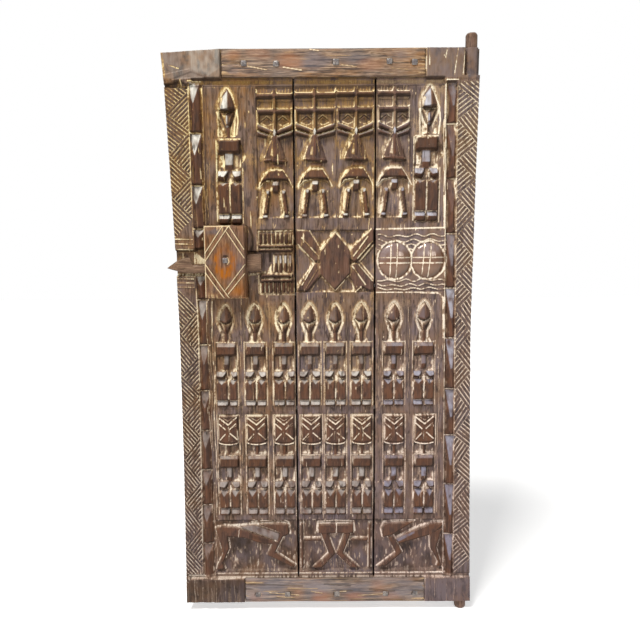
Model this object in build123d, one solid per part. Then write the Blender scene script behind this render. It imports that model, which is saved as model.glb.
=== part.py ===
from build123d import *
import os

# A carved granary door, in millimetres. X runs along the door's width from the pivot
# axis, Y from the carved face (-Y) to the back, Z up from the lower ends of the planks.

# ---- The three planks ----
door_height = 1435.0          # lower to upper ends of the planks
plank_depth = 42.0            # thickness at the borders
hinge_reach_top = 18.0        # hinge edge beyond the pivot axis, at the top
hinge_reach_waist = 9.0
hinge_reach_foot = 23.0
waist_height = 600.0          # where the door is narrowest
left_width_top = 320.5        # left plank, from its seam to the free edge
left_width_waist = 296.5
left_width_foot = 300.5
middle_width = 198.5
right_seam_x = -237.5         # middle of the gap between middle and right plank
seam_gap = 5.0
seam_touch = 12.0             # at the back the planks meet, edge to edge, this deep
left_corner_fall = 8.0        # the free corner at the top is worn lower
edge_wear = 3.0               # bevel round the back of each plank

# ---- Pivots, cut in one with the right plank ----
top_pivot_radius = 15.25
top_pivot_length = 38.0
bottom_pivot_radius = 16.0
bottom_pivot_length = 26.0
post_radius = 16.0            # the round post left standing below the top pivot
post_recess = 13.0            # the block is cut back round the post
post_margin = 4.0

# ---- Rails across the ends ----
rail_height = 68.0
rail_depth = 25.0
rail_proud = 1.5              # how far the rails stand in front of the planks
top_rail_left = -617.0
top_rail_right = -115.0
bottom_rail_left = -585.0
bottom_rail_right = -101.0
ledge_height = 9.0            # lowered strip between a rail and the carved field
ledge_drop = 9.0

# ---- Nails ----
nail_size = 5.0               # square shank
nail_head = 14.0
nail_head_rise = 3.0
nail_length = 34.0            # under the head
top_nail_x = [-561.0, -483.0, -335.5, -205.0, -143.0]
bottom_nail_x = [-550.0, -471.0, -337.5, -206.5, -126.0]
bottom_nail_height = 23.0     # the lower row sits below the middle of its rail

# ---- Square iron ties across the seams, mid-depth in both planks ----
tie_size = 9.0
tie_y = 0.0
tie_length = 64.0
left_tie_heights = [534.0, 834.0]
right_tie_heights = [534.0, 855.0]

# ---- Depths of the carving, behind the front face ----
field_drop = 6.0              # the strips left between the figures
ground_drop = 12.0            # the sunk ground round the figures
root = 2.0                    # what a carved form shares with the wood under it

# ---- Faceted ridges beside the borders ----
left_field_width = 224.5      # left plank, from its seam to its ridge
ridge_width = 28.0
right_ridge_top = -62.0       # left side of the right ridge, at the top
right_ridge_foot = -50.0
right_ridge_units = 10
left_ridge_units_under = 7    # under the bolt's lane
left_ridge_units_over = 3
ridge_step = 8.0
ridge_facet = 58.0            # height of the sloping facet that starts each unit
border_drop = 1.5             # the hatched border lies a little behind the ridge's crests

# ---- Heights of the carving, drawn for a field between these two and stretched with the door ----
drawn_low = 77.0
drawn_high = 1358.0

# ---- Drawn heights on which the feet of each row of carving stand ----
large_feet = 1010.0
mask_feet = 1027.0
middle_low = 836.0            # band with the comb, the lozenge and the domes
middle_high = 998.0
hooded_feet = 541.0
shield_feet = 246.0
animal_low = 92.0
animal_high = 224.0

# ---- Columns of figures, each from the nearest seam edge of its own plank ----
left_first_column = 178.5
left_column_pitch = 75.0
middle_column_pitch = 65.0
right_first_column = 47.0
right_column_pitch = 78.0
left_large_figure = 160.5
right_large_figure = 127.0
left_mask = 43.5
middle_left_mask = 50.0
middle_right_mask = 48.5
right_mask = 45.0
dome_columns = [50.0, 134.5]
mask_half_width = 43.0
niche_margin = 4.0

# ---- Lock ----
lock_height = 915.5           # drawn height of the middle of the bolt's tail
case_from_seam = 220.5        # the case's free side, from the plank's seam
case_width = 102.0
case_height = 179.0
case_under = 87.5             # of the case below the middle of the tail
case_proud = 36.0             # in front of the planks' front face
case_chamfer = 4.0
lozenge_groove = 1.2          # depth, and half the width, of the lines cut in the case
case_lines = [                # ends of each line, as shares of the case's width and height
    [(0.47, 1.00), (-0.02, 0.58)], [(0.61, 1.00), (-0.01, 0.49)],
    [(0.61, 1.00), (0.98, 0.66)], [(0.54, 0.92), (1.00, 0.54)],
    [(0.00, 0.48), (0.58, 0.00)], [(0.00, 0.37), (0.46, 0.00)],
    [(1.00, 0.46), (0.47, 0.10)], [(1.00, 0.34), (0.56, 0.04)],
]
bed_drop = 2.0                # the case sits in a shallow bed in the sunk ground
shaft_height = 21.0
shaft_under = 25.5            # its lower side, below the middle of the tail
bolt_depth = 24.0
bolt_back_gap = 1.0           # between the bolt and the ground behind it
bolt_clearance = 0.8
head_length = 67.0
head_gap = 6.0                # between the drawn bolt's head and the case
barb_length = 7.0
barb_rise = 19.0              # above the shaft
barb_drop = 1.0               # below the shaft
tip_rise = 13.0               # the point's height above the shaft's lower side
tail_height = 45.0
tail_length = 35.0
tail_gap = 1.0                # between the thrown bolt's tail and the case
bolt_throw = 27.0
bolt_bevel = 3.0
bolt_lane_margin = 8.0
lock_nail_right = 1.0         # right of the middle of the case
lock_nail_rise = 5.5          # above the middle of the tail
lock_nail_size = 6.0
lock_nail_head = 13.0
lock_nail_length = 62.0

# ---- Tumblers ----
tumbler_count = 3
tumbler_pitch = bolt_throw    # one notch further on each time the bolt is drawn
tumbler_size = 9.0
tumbler_length = 46.0
tumbler_clearance = 0.5
keyway_height = 9.0
keyway_depth = 12.0
keyway_floor = 5.0            # wood left under the keyway

# ---- Worked-out faces and seams ----
front = -plank_depth / 2
back = plank_depth / 2
field_face = front + field_drop
ground = front + ground_drop
middle_right = right_seam_x - seam_gap / 2
middle_left = middle_right - middle_width
left_seam_x = middle_left - seam_gap / 2
left_plank_right = middle_left - seam_gap
right_plank_left = middle_right + seam_gap
top_rail_low = door_height - rail_height
field_low = rail_height + ledge_height
field_high = top_rail_low - ledge_height
rail_front = front - rail_proud
rail_back = rail_front + rail_depth
middle_centre = (middle_left + middle_right) / 2
left_columns = [left_plank_right - left_first_column + i * left_column_pitch for i in range(3)]
middle_columns = [middle_centre + (i - 1) * middle_column_pitch for i in range(3)]
right_columns = [right_plank_left + right_first_column + i * right_column_pitch for i in range(2)]
bolt_back = ground - bolt_back_gap
bolt_front = bolt_back - bolt_depth
case_front = front - case_proud
case_back = ground + bed_drop
seam_floor = back - seam_touch


def level(z):
    """A drawn height, carried to the field of the door as it is."""
    return field_low + (z - drawn_low) * (field_high - field_low) / (drawn_high - drawn_low)


field_left = left_plank_right - left_field_width
lock_z = level(lock_height)
case_left = left_plank_right - case_from_seam
case_right = case_left + case_width
case_low = lock_z - case_under
case_high = case_low + case_height
shaft_low = lock_z - shaft_under
shaft_high = shaft_low + shaft_height
tail_low = lock_z - tail_height / 2
tail_left = case_right + tail_gap
tail_right = tail_left + tail_length
head_right = case_left - head_gap - bolt_throw
head_tip_x = head_right - head_length
lock_nail_x = (case_left + case_right) / 2 + lock_nail_right
lock_nail_z = lock_z + lock_nail_rise


# ---- Helpers: everything carved is a plan cut to a depth, or a profile run sideways ----
def outline(points):
    """A polygon whose points run anticlockwise, so that it always faces its plane's way."""
    following = points[1:] + points[:1]
    twice_area = sum(a[0] * b[1] - b[0] * a[1] for a, b in zip(points, following))
    return Polygon(*(points if twice_area > 0 else points[::-1]), align=None)


def slab(points, depth_back, depth_front):
    """A plan drawn on the door's face, from one depth to another (y grows to the back)."""
    return extrude(Plane.XZ.offset(-depth_back) * outline(points), depth_back - depth_front)


def bar(left, right, low, high, depth_back, depth_front):
    corners = [(left, low), (right, low), (right, high), (left, high)]
    return slab(corners, depth_back, depth_front)


def at_levels(points):
    return [(x, level(z)) for x, z in points]


def relief(points, rise, taper=0.0):
    """A form standing on the sunk ground, with sloping sides where a taper is given."""
    face = Plane.XZ.offset(-(ground + root)) * outline(at_levels(points))
    return extrude(face, rise + root, taper=taper)


def relief_bar(left, right, low, high, rise, taper=0.0):
    return relief([(left, low), (right, low), (right, high), (left, high)], rise, taper)


def carved(left, right, profile):
    """A profile of (height, rise) points, closed into the wood and run from left to right."""
    low_end = (ground + root, level(profile[0][0]))
    high_end = (ground + root, level(profile[-1][0]))
    points = [low_end] + [(ground - rise, level(height)) for height, rise in profile] + [high_end]
    return extrude(Plane.YZ.offset(left) * outline(points), right - left)


def joined(forms):
    """One motif: its forms fused to each other before the plank takes them."""
    return forms[0].fuse(*forms[1:])


def carry(plank, motifs):
    """The plank with each motif left standing on it."""
    for forms in motifs:
        plank = plank.fuse(joined(forms))
    return plank


def mirrored(points, axis_x):
    return [(2 * axis_x - x, z) for x, z in points]


def shifted(points, distance):
    return [(x + distance, z) for x, z in points]


def pyramid(points, apex, rise):
    """A faceted form from a plan on the ground up to one point."""
    base = Plane.XZ.offset(-(ground + root)) * outline(at_levels(points))
    tip = Vertex(apex[0], ground - rise, level(apex[1]))
    return loft([base.face(), tip])


# ---- Standing figures ----
# Heights above the feet of one figure: the upper end of each part, and where it is widest.
small_body = dict(
    feet=15, knee_low=55, knee_high=70, hip_low=73, hip_high=92,
    torso_high=135, bar_low=138, bar_face=157, bar_high=168, neck_high=198,
    half_width=24.5, leg_gap=1.5, torso_half=7.5, neck_half=6, rise=12,
)
large_body = dict(
    feet=27, knee_low=98, knee_high=108, hip_low=106, hip_high=136,
    torso_high=169, bar_low=172, bar_face=198, bar_high=207, neck_high=243,
    half_width=28, leg_gap=2.0, torso_half=9, neck_half=6, rise=12,
)


def body(x, feet, sizes):
    """Feet, legs, knees, hips, torso, shoulder bar and neck, each facet a plane."""
    rise = sizes["rise"]
    half = sizes["half_width"]
    gap = sizes["leg_gap"]
    level = {name: feet + value for name, value in sizes.items()}
    forms = []
    for inner, outer in ((-half + 2, -gap), (gap, half - 2)):
        forms.append(carved(x + inner, x + outer, [
            (feet, 3), (feet + 3, rise - 1), (level["feet"] - 3, rise), (level["feet"], 5),
        ]))
        forms.append(carved(x + inner + 1, x + outer - 1, [
            (level["feet"] - 2, 4), (level["feet"] + 4, rise - 2), (level["knee_low"], rise),
            (level["knee_high"], 4),
        ]))
        forms.append(carved(x + inner, x + outer, [
            (level["hip_low"], 5), (level["hip_low"] + 3, rise), (level["hip_high"], 3),
        ]))
    forms.append(carved(x - sizes["torso_half"], x + sizes["torso_half"], [
        (level["hip_low"], 3), (level["hip_high"] + 5, 7), (level["torso_high"] - 15, 9),
        (level["bar_low"] + 4, 4),
    ]))
    forms.append(carved(x - half, x + half, [
        (level["bar_low"], 4), (level["bar_low"] + 3, rise), (level["bar_face"], rise),
        (level["bar_high"], 2),
    ]))
    forms.append(relief_bar(x - sizes["neck_half"], x + sizes["neck_half"],
                            level["bar_face"] - 2, level["neck_high"] + 6, 7))
    return forms


def hooded_head(x, chin, half, brow, tip):
    """A pointed hood over a face that narrows to the chin."""
    hood = [(x - half, brow), (x - half * 0.5, brow - 5), (x, brow - 10),
            (x + half * 0.5, brow - 5), (x + half, brow), (x + half * 0.9, brow + 16),
            (x, tip), (x - half * 0.9, brow + 16)]
    face = [(x, chin), (x + half * 0.85, brow), (x - half * 0.85, brow)]
    return [pyramid(hood, (x, brow + 4), 12), relief(face, 8, 20)]


def shield_head(x, low, high, half):
    """A flat shield with a curved lower rim."""
    shield = [(x - half, low + 8), (x - half / 2, low + 2), (x, low), (x + half / 2, low + 2),
              (x + half, low + 8), (x + half, high), (x - half, high)]
    return [relief(shield, 12, 8)]


def hooded_figure(x):
    feet = hooded_feet
    return body(x, feet, small_body) + hooded_head(x, feet + 194, 17, feet + 228, feet + 267)


def shield_figure(x):
    feet = shield_feet
    return body(x, feet, small_body) + shield_head(x, feet + 190, feet + 272, 25.5)


def large_figure(x):
    feet = large_feet
    return body(x, feet, large_body) + hooded_head(x, feet + 238, 19, feet + 284, feet + 334)


# ---- Masks with a tall cross, each above a dancing figure ----
def masked_dancer(x):
    feet = mask_feet
    half = mask_half_width
    forms = [
        relief_bar(x - 4, x + 4, feet + 205, feet + 309, 10),
        relief_bar(x - half, x + half, feet + 292, feet + 301, 10),
        relief_bar(x - half, x + half, feet + 257, feet + 266, 10),
        relief([(x - 30, feet + 143), (x + 30, feet + 143), (x, feet + 207)], 10, 10),
        relief_bar(x - 6, x + 6, feet + 118, feet + 145, 7),
        carved(x - 9.5, x + 9.5, [(feet + 62, 4), (feet + 68, 10), (feet + 96, 10), (feet + 118, 4)]),
    ]
    sides = {
        "finial": [(half - 6, 300), (half, 300), (half, 310)],
        "drop": [(half - 7, 231), (half, 228), (half, 258), (half - 6, 258)],
        "brow": [(8, 238), (half - 8, 228), (half - 8, 236), (22, 250), (8, 248)],
        "upper_arm": [(7, 206), (half, 222), (half, 230), (7, 216)],
        "lower_arm": [(7, 195), (half, 211), (half, 219), (7, 204)],
        "shoulder": [(7, 94), (32, 92), (half, 74), (half, 84), (31, 103), (12, 119), (7, 119)],
        "leg": [(7, 68), (17, 10), (31, 10), (20, 68)],
        "foot": [(16, 0), (33, 0), (32, 12), (16, 12)],
    }
    for shape in sides.values():
        right = [(x + dx, feet + dz) for dx, dz in shape]
        forms.append(relief(right, 10))
        forms.append(relief(mirrored(right, x), 10))
    return forms


# ---- The middle band ----
lane_low = shaft_low - bolt_lane_margin
lane_high = tail_low + tail_height + bolt_lane_margin
comb_left = left_plank_right - 87.5
comb_right = left_plank_right - 4.5
comb_teeth = 8
short_teeth = 4
comb_hollow = 34.0            # clear way for the drawn bolt's tail, left of the short teeth
lane_right = comb_left + comb_hollow


def comb():
    """Two combs back to back, with a short row of bent teeth and a hollow between them."""
    forms = [
        relief_bar(comb_left, comb_right, 944, 951, 10),
        relief_bar(comb_left, comb_right, 953, 958, 10),
        relief_bar(comb_left, comb_right, 878, 887, 10),
        relief_bar(comb_left, comb_right, 868, 875, 10),
    ]
    pitch = (comb_right - comb_left) / comb_teeth
    for i in range(comb_teeth):
        left = comb_left + i * pitch + 1.5
        forms.append(relief_bar(left, left + pitch - 3.5, 960, 993, 9))
        forms.append(relief_bar(left, left + pitch - 3.5, 838, 866, 9))
    pitch = (comb_right - lane_right) / short_teeth
    for i in range(short_teeth):
        left = lane_right + i * pitch + 3.5
        forms.append(carved(left, left + pitch - 3.5, [(889, 4), (912, 10), (942, 3)]))
    return forms


def crossed_lozenge():
    """A six-cornered lozenge with four broad arms."""
    x = middle_centre
    low = middle_low
    high = middle_high
    mid = (low + high) / 2
    lozenge = [(x, low + 5), (x + 36, mid - 33), (x + 36, mid + 28), (x, high - 4),
               (x - 36, mid + 28), (x - 36, mid - 33)]
    forms = [relief(lozenge, 12, 12)]
    upper = [(x + 38, mid + 30), (x + 54, mid + 2), (x + 93, mid + 54), (x + 93, high - 3),
             (x + 78, high - 3)]
    lower = [(x + 36, mid - 32), (x + 55, mid - 2), (x + 93, mid - 58), (x + 93, low + 4),
             (x + 72, low + 4)]
    for arm in (upper, lower):
        forms.append(relief(arm, 10, 10))
        forms.append(relief(mirrored(arm, x), 10, 10))
    return forms


dome_half_width = 41.0
dome_half_height = 45.0
dome_rise = 15.0


def dome(x):
    """One egg-shaped boss, flattened against the ground."""
    middle = (middle_low + middle_high) / 2 + 1.0
    half_height = level(middle + dome_half_height) - level(middle)
    egg = scale(Sphere(1.0), by=(dome_half_width, dome_rise, half_height))
    keep = Box(200, plank_depth, 200, align=(Align.CENTER, Align.MAX, Align.CENTER))
    egg = egg & (Pos(0, root, 0) * keep)
    return Pos(x, ground, level(middle)) * egg


# ---- Animals in the lowest band, drawn for seams at these places ----
drawn_left_seam = -443.5
drawn_middle_centre = -339.25
drawn_right_seam = -235.0
left_animal = [
    [(-665, 209), (-644, 212), (-606, 209), (-564, 197), (-497, 167), (-486, 187), (-492, 197),
     (-566, 218), (-563, 221), (-483, 221), (-465, 216), (-462, 188), (-476, 182), (-506, 139),
     (-447, 99), (-466, 96), (-522, 132), (-503, 161), (-514, 163), (-570, 179), (-628, 182),
     (-625, 152), (-643, 116), (-639, 92), (-664, 92), (-644, 144)],
]
middle_animal = [
    [(-434, 94), (-426, 94), (-426, 221), (-434, 221)],
    [(-426, 170), (-377, 170), (-377, 179), (-426, 179)],
    [(-387, 192), (-338, 191), (-338, 219), (-387, 219)],
    [(-377, 194), (-363, 194), (-342, 134), (-377, 95), (-400, 95), (-356, 134)],
]
right_animal = [
    [(-214, 179), (-218, 203), (-212, 220), (-187, 222), (-126, 225), (-187, 186)],
    [(-200, 184), (-187, 184), (-162, 137), (-206, 101), (-226, 100), (-177, 135)],
    [(-181, 175), (-123, 205), (-83, 220), (-54, 221), (-53, 210), (-89, 185), (-171, 160)],
    [(-89, 190), (-52, 210), (-68, 149), (-53, 95), (-69, 98), (-65, 109), (-87, 150)],
]


# ---- Ridges ----
def ridge(low_x, high_x, width, arris_share, spans):
    """A run of shingle-like units, each starting in a sloping facet and ending in a step.

    low_x and high_x give the ridge's left side at the bottom and top of the field."""
    forms = []
    for low, high in spans:
        share = ((low + high) / 2 - field_low) / (field_high - field_low)
        left = low_x + (high_x - low_x) * share
        arris = left + width * arris_share
        section = outline([
            (left, ground + root), (left, front + ridge_step), (arris, front),
            (left + width, front + ridge_step), (left + width, ground + root),
        ])
        side = outline([
            (ground + root, low), (front, low), (front, high - ridge_facet),
            (front + ridge_step, high), (ground + root, high),
        ])
        prism = extrude(Plane.XY.offset(low) * section, high - low)
        forms.append(prism & extrude(Plane.YZ.offset(left - 1) * side, width + 2))
    return forms


def even_spans(low, high, count):
    step = (high - low) / count
    return [(low + i * step, low + (i + 1) * step) for i in range(count)]


# ---- Niches cut down from the field's face to the sunk ground ----
def niche(left, right, low, high):
    return bar(left, right, level(low), level(high), ground, front - 1)


def pointed_niche(x, half, low, shoulder, tip):
    """A niche with a pointed head, as wide as the hood it holds."""
    points = [(x - half, low), (x + half, low), (x + half, shoulder), (x + half * 0.8, shoulder + 28),
              (x, tip), (x - half * 0.8, shoulder + 28), (x - half, shoulder)]
    return slab(at_levels(points), ground, front - 1)


def figure_niches(columns):
    half = small_body["half_width"] + niche_margin
    cuts = []
    for x in columns:
        cuts.append(pointed_niche(x, half, hooded_feet - 3, hooded_feet + 225, hooded_feet + 276))
        cuts.append(niche(x - half, x + half, shield_feet - 3, shield_feet + 276))
    return cuts


def large_niche(x):
    half = large_body["half_width"] + niche_margin
    return pointed_niche(x, half, large_feet - 3, large_feet + 285, large_feet + 345)


def mask_niche(x):
    half = mask_half_width + niche_margin
    return niche(x - half, x + half, mask_feet - 4, mask_feet + 316)


# ---- Rails, nails and ties ----
def rail_trench(left, right, low):
    return bar(left, right, low, low + rail_height, rail_back, front - 5)


def ledge(left, right, low, high):
    return bar(left, right, low, high, front + ledge_drop, front - 5)


def nail(x, z, size, head, head_back, length, head_height):
    """A forged nail: square shank with a drawn point and a faceted head."""
    shank = bar(x - size / 2, x + size / 2, z - size / 2, z + size / 2,
                head_back + length - size * 2, head_back)
    base = Plane.XZ.offset(-(head_back + length - size * 2)) * Rectangle(size, size)
    base = Pos(x, 0, z) * base
    point = loft([base.face(), Vertex(x, head_back + length, z)])
    cap_plane = Plane.XZ.offset(-head_back)
    cap = extrude(cap_plane * Pos(x, z) * RegularPolygon(head / 2, 8), head_height, taper=35)
    return shank + point + cap


def nail_hole(x, z, size, head_back, length):
    return bar(x - size / 2, x + size / 2, z - size / 2, z + size / 2, head_back + length, rail_front - case_proud)


def ties(seam_x, heights):
    """Square bars let into both planks, seen only in the gap between them."""
    return [Pos(seam_x, tie_y, level(z)) * Box(tie_length, tie_size, tie_size) for z in heights]


# ---- Lock parts ----
tumbler_x = [lock_nail_x - tumbler_pitch * 1.5 + i * tumbler_pitch for i in range(tumbler_count)]
tumbler_low = shaft_high + tumbler_clearance
slot_high = tumbler_low + tumbler_length + tumbler_clearance
keyway_low = shaft_low + keyway_floor
keyway_high = keyway_low + keyway_height


def bevelled(block, size):
    """A block with the edges of its front face bevelled."""
    return chamfer(block.faces().sort_by(Axis.Y)[0].edges(), size)


def case_line(start, end):
    """One straight groove across the case's face."""
    (x1, z1), (x2, z2) = [(case_left + share_x * (case_right - case_left),
                           case_low + share_z * (case_high - case_low)) for share_x, share_z in (start, end)]
    length = ((x2 - x1) ** 2 + (z2 - z1) ** 2) ** 0.5
    across_x = (z1 - z2) / length * lozenge_groove
    across_z = (x2 - x1) / length * lozenge_groove
    corners = [(x1 + across_x, z1 + across_z), (x1 - across_x, z1 - across_z),
               (x2 - across_x, z2 - across_z), (x2 + across_x, z2 + across_z)]
    return slab(corners, case_front + lozenge_groove, case_front - 1)


def make_lock_case():
    block = bar(case_left, case_right, case_low, case_high, case_back, case_front)
    block = bevelled(block, case_chamfer)
    block = block.cut(*[case_line(start, end) for start, end in case_lines])
    block -= bar(case_left - 1, case_right + 1, shaft_low - bolt_clearance,
                 shaft_high + bolt_clearance, case_back + 1, bolt_front - bolt_clearance)
    slot_half = tumbler_size / 2 + tumbler_clearance
    for x in tumbler_x:
        block -= bar(x - slot_half, x + slot_half, shaft_low, slot_high,
                     case_back + 1, bolt_back - tumbler_size - tumbler_clearance)
    half = lock_nail_size / 2
    block -= bar(lock_nail_x - half, lock_nail_x + half, lock_nail_z - half, lock_nail_z + half,
                 case_back + 1, case_front - 1)
    return block


def make_lock_bolt():
    barb_x = head_right - barb_length
    head_low = shaft_low - barb_drop
    head_high = shaft_high + barb_rise
    head = [(head_tip_x, shaft_low + tip_rise),
            (head_tip_x + head_length * 0.36, head_high - barb_rise / 2),
            (head_tip_x + head_length * 0.69, head_high), (barb_x, head_high),
            (head_right, shaft_high), (head_right, shaft_low), (barb_x, head_low),
            (head_tip_x + head_length * 0.3, shaft_low + tip_rise / 2)]
    tail = bar(tail_left, tail_right, tail_low, tail_low + tail_height, bolt_back, bolt_front)
    bolt = bar(head_right - 2 * bolt_bevel, tail_left + 2 * bolt_bevel, shaft_low, shaft_high,
               bolt_back, bolt_front)
    bolt = bolt.fuse(bevelled(slab(head, bolt_back, bolt_front), bolt_bevel), bevelled(tail, bolt_bevel))
    far_notch = tumbler_x[0] - bolt_throw
    notch_half = tumbler_size / 2 + tumbler_clearance
    bolt -= bar(far_notch - notch_half, tail_right + 1, keyway_low, keyway_high,
                bolt_back + 1, bolt_back - keyway_depth)
    for x in [far_notch] + tumbler_x:
        bolt -= bar(x - notch_half, x + notch_half, keyway_low, shaft_high + 1,
                    bolt_back + 1, bolt_back - tumbler_size - tumbler_clearance)
    return bolt


def make_tumbler(x):
    return bar(x - tumbler_size / 2, x + tumbler_size / 2, tumbler_low, tumbler_low + tumbler_length,
               bolt_back, bolt_back - tumbler_size)


# ---- Planks ----
def straight_edge(x):
    return Line((x, 0), (x, door_height))


def plank_blank(left_edge, right_edge, top_points):
    """A board between two edges, straight or curved, bevelled by wear round its back.

    The top's points run from the left edge to the right one."""
    low = Line(left_edge @ 0, right_edge @ 0)
    plan = make_face([low, right_edge, Polyline(*top_points), left_edge])
    board = extrude(Plane.XZ.offset(-back) * plan, plank_depth)
    return chamfer(board.faces().sort_by(Axis.Y)[-1].edges(), edge_wear)


def seam_edge(seam_x, side):
    """What is cut from a plank's seam edge, so that the planks meet only at the back."""
    left, right = sorted((seam_x, seam_x + side * seam_gap / 2))
    return bar(left, right, -1, door_height + 1, seam_floor, front - 1)


def make_left_plank():
    top_x = left_plank_right - left_width_top
    waist_x = left_plank_right - left_width_waist
    foot_x = left_plank_right - left_width_foot
    top_z = door_height - left_corner_fall
    free_edge = ThreePointArc((foot_x, 0), (waist_x, waist_height), (top_x, top_z))
    plank = plank_blank(free_edge, straight_edge(left_seam_x),
                        [(top_x, top_z), (top_rail_left, door_height), (left_seam_x, door_height)])
    edge = left_seam_x
    figure_x = left_plank_right - left_large_figure
    mask_x = left_plank_right - left_mask
    ridge_left = field_left - ridge_width
    cuts = [
        bar(field_left, edge + 1, field_low, field_high, field_face, front - 1),
        bar(ridge_left, field_left, field_low, field_high, ground, front - 1),
        bar(top_x - 1, ridge_left, field_low, field_high, front + border_drop, front - 1),
        ledge(top_x - 1, edge + 1, field_high, top_rail_low),
        ledge(top_x - 1, edge + 1, rail_height, field_low),
        rail_trench(top_rail_left, edge + 1, top_rail_low),
        rail_trench(bottom_rail_left, edge + 1, 0),
        bar(top_x - 5, case_left, lane_low, lane_high, ground, front - 1),
        bar(case_left, case_right, case_low, case_high, case_back, front - 1),
        bar(case_right, lane_right, lane_low, lane_high, ground, front - 1),
        nail_hole(lock_nail_x, lock_nail_z, lock_nail_size, case_front, lock_nail_length),
        large_niche(figure_x),
        mask_niche(mask_x),
        niche(lane_right, edge + 1, middle_low, middle_high),
        bar(comb_left, lane_right, lane_high, level(middle_high), ground, front - 1),
        bar(comb_left, lane_right, level(middle_low), lane_low, ground, front - 1),
        niche(field_left + 2, edge + 1, animal_low - 2, animal_high + 2),
        seam_edge(left_seam_x, -1),
    ]
    cuts += figure_niches(left_columns)
    spans = even_spans(field_low, lane_low, left_ridge_units_under)
    spans += even_spans(lane_high, field_high, left_ridge_units_over)
    motifs = [[unit] for unit in ridge(ridge_left, ridge_left, ridge_width, 0.4, spans)]
    motifs += [large_figure(figure_x), masked_dancer(mask_x)]
    motifs += [[form] for form in comb()]
    motifs += [hooded_figure(x) for x in left_columns]
    motifs += [shield_figure(x) for x in left_columns]
    motifs += [[relief(shifted(shape, left_plank_right - drawn_left_seam), 10)] for shape in left_animal]
    return carry(plank.cut(*cuts), motifs)


def make_middle_plank():
    plank = plank_blank(straight_edge(left_seam_x), straight_edge(right_seam_x),
                        [(left_seam_x, door_height), (right_seam_x, door_height)])
    left = left_seam_x - 1
    right = right_seam_x + 1
    mask_x = [middle_left + middle_left_mask, middle_right - middle_right_mask]
    cuts = [
        bar(left, right, field_low, field_high, field_face, front - 1),
        ledge(left, right, field_high, top_rail_low),
        ledge(left, right, rail_height, field_low),
        rail_trench(left, right, top_rail_low),
        rail_trench(left, right, 0),
        mask_niche(mask_x[0]),
        mask_niche(mask_x[1]),
        niche(left, right, middle_low, middle_high),
        niche(left, right, animal_low - 2, animal_high + 2),
        seam_edge(left_seam_x, 1),
        seam_edge(right_seam_x, -1),
    ]
    cuts += figure_niches(middle_columns)
    motifs = [crossed_lozenge(), masked_dancer(mask_x[0]), masked_dancer(mask_x[1])]
    motifs += [hooded_figure(x) for x in middle_columns]
    motifs += [shield_figure(x) for x in middle_columns]
    for drawn in middle_animal:
        shape = shifted(drawn, middle_centre - drawn_middle_centre)
        motifs.append([relief(shape, 10)])
        motifs.append([relief(mirrored(shape, middle_centre), 10)])
    return carry(plank.cut(*cuts), motifs)


def make_right_plank():
    top_x = hinge_reach_top
    waist_x = hinge_reach_waist
    foot_x = hinge_reach_foot
    hinge_edge = ThreePointArc((foot_x, 0), (waist_x, waist_height), (top_x, door_height))
    plank = plank_blank(straight_edge(right_seam_x), hinge_edge,
                        [(right_seam_x, door_height), (top_x, door_height)])
    edge = right_seam_x
    figure_x = right_plank_left + right_large_figure
    mask_x = right_plank_left + right_mask
    top_ridge = right_ridge_top + ridge_width
    foot_ridge = right_ridge_foot + ridge_width
    field = [(edge - 1, field_low), (right_ridge_foot, field_low),
             (right_ridge_top, field_high), (edge - 1, field_high)]
    under_ridge = [(right_ridge_foot, field_low), (foot_ridge, field_low),
                   (top_ridge, field_high), (right_ridge_top, field_high)]
    border = [(foot_ridge, field_low), (foot_x + 5, field_low),
              (foot_x + 5, field_high), (top_ridge, field_high)]
    cuts = [
        slab(field, field_face, front - 1),
        slab(under_ridge, ground, front - 1),
        slab(border, front + border_drop, front - 1),
        ledge(edge - 1, foot_x + 5, field_high, top_rail_low),
        ledge(edge - 1, foot_x + 5, rail_height, field_low),
        rail_trench(edge - 1, top_rail_right, top_rail_low),
        rail_trench(edge - 1, bottom_rail_right, 0),
        large_niche(figure_x),
        mask_niche(mask_x),
        niche(edge - 1, right_ridge_top - 2, animal_low - 2, animal_high + 2),
        bar(-post_radius - post_margin, foot_x, top_rail_low, door_height + 1,
            front + post_recess, front - 1),
        seam_edge(right_seam_x, 1),
    ]
    cuts += figure_niches(right_columns)
    spans = even_spans(field_low, field_high, right_ridge_units)
    motifs = [[unit] for unit in
              ridge(right_ridge_foot, right_ridge_top, ridge_width, 0.85, spans)]
    motifs += [large_figure(figure_x), masked_dancer(mask_x)]
    motifs += [[dome(right_plank_left + x)] for x in dome_columns]
    motifs += [hooded_figure(x) for x in right_columns]
    motifs += [shield_figure(x) for x in right_columns]
    motifs += [[relief(shifted(shape, right_plank_left - drawn_right_seam), 10)] for shape in right_animal]
    plank = carry(plank.cut(*cuts), motifs)
    upward = (Align.CENTER, Align.CENTER, Align.MIN)
    downward = (Align.CENTER, Align.CENTER, Align.MAX)
    plank += Pos(0, 0, top_rail_low) * Cylinder(post_radius, rail_height, align=upward)
    plank += Pos(0, 0, door_height - 1) * Cylinder(top_pivot_radius, top_pivot_length + 1, align=upward)
    plank += Pos(0, 0, 1) * Cylinder(bottom_pivot_radius, bottom_pivot_length + 1, align=downward)
    return plank


# ---- Assembly ----
def drilled(plank, seam_ties, nails):
    """A plank with the sockets of its ties and its nail holes."""
    holes = list(seam_ties)
    holes += [nail_hole(x, z, nail_size, rail_front, nail_length) for x, z in nails]
    return plank.cut(*holes)


top_nails = [(x, top_rail_low + rail_height / 2) for x in top_nail_x]
bottom_nails = [(x, bottom_nail_height) for x in bottom_nail_x]
all_nails = top_nails + bottom_nails
left_ties = ties(left_seam_x, left_tie_heights)
right_ties = ties(right_seam_x, right_tie_heights)


def nails_between(left, right):
    return [(x, z) for x, z in all_nails if left < x < right]


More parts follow.
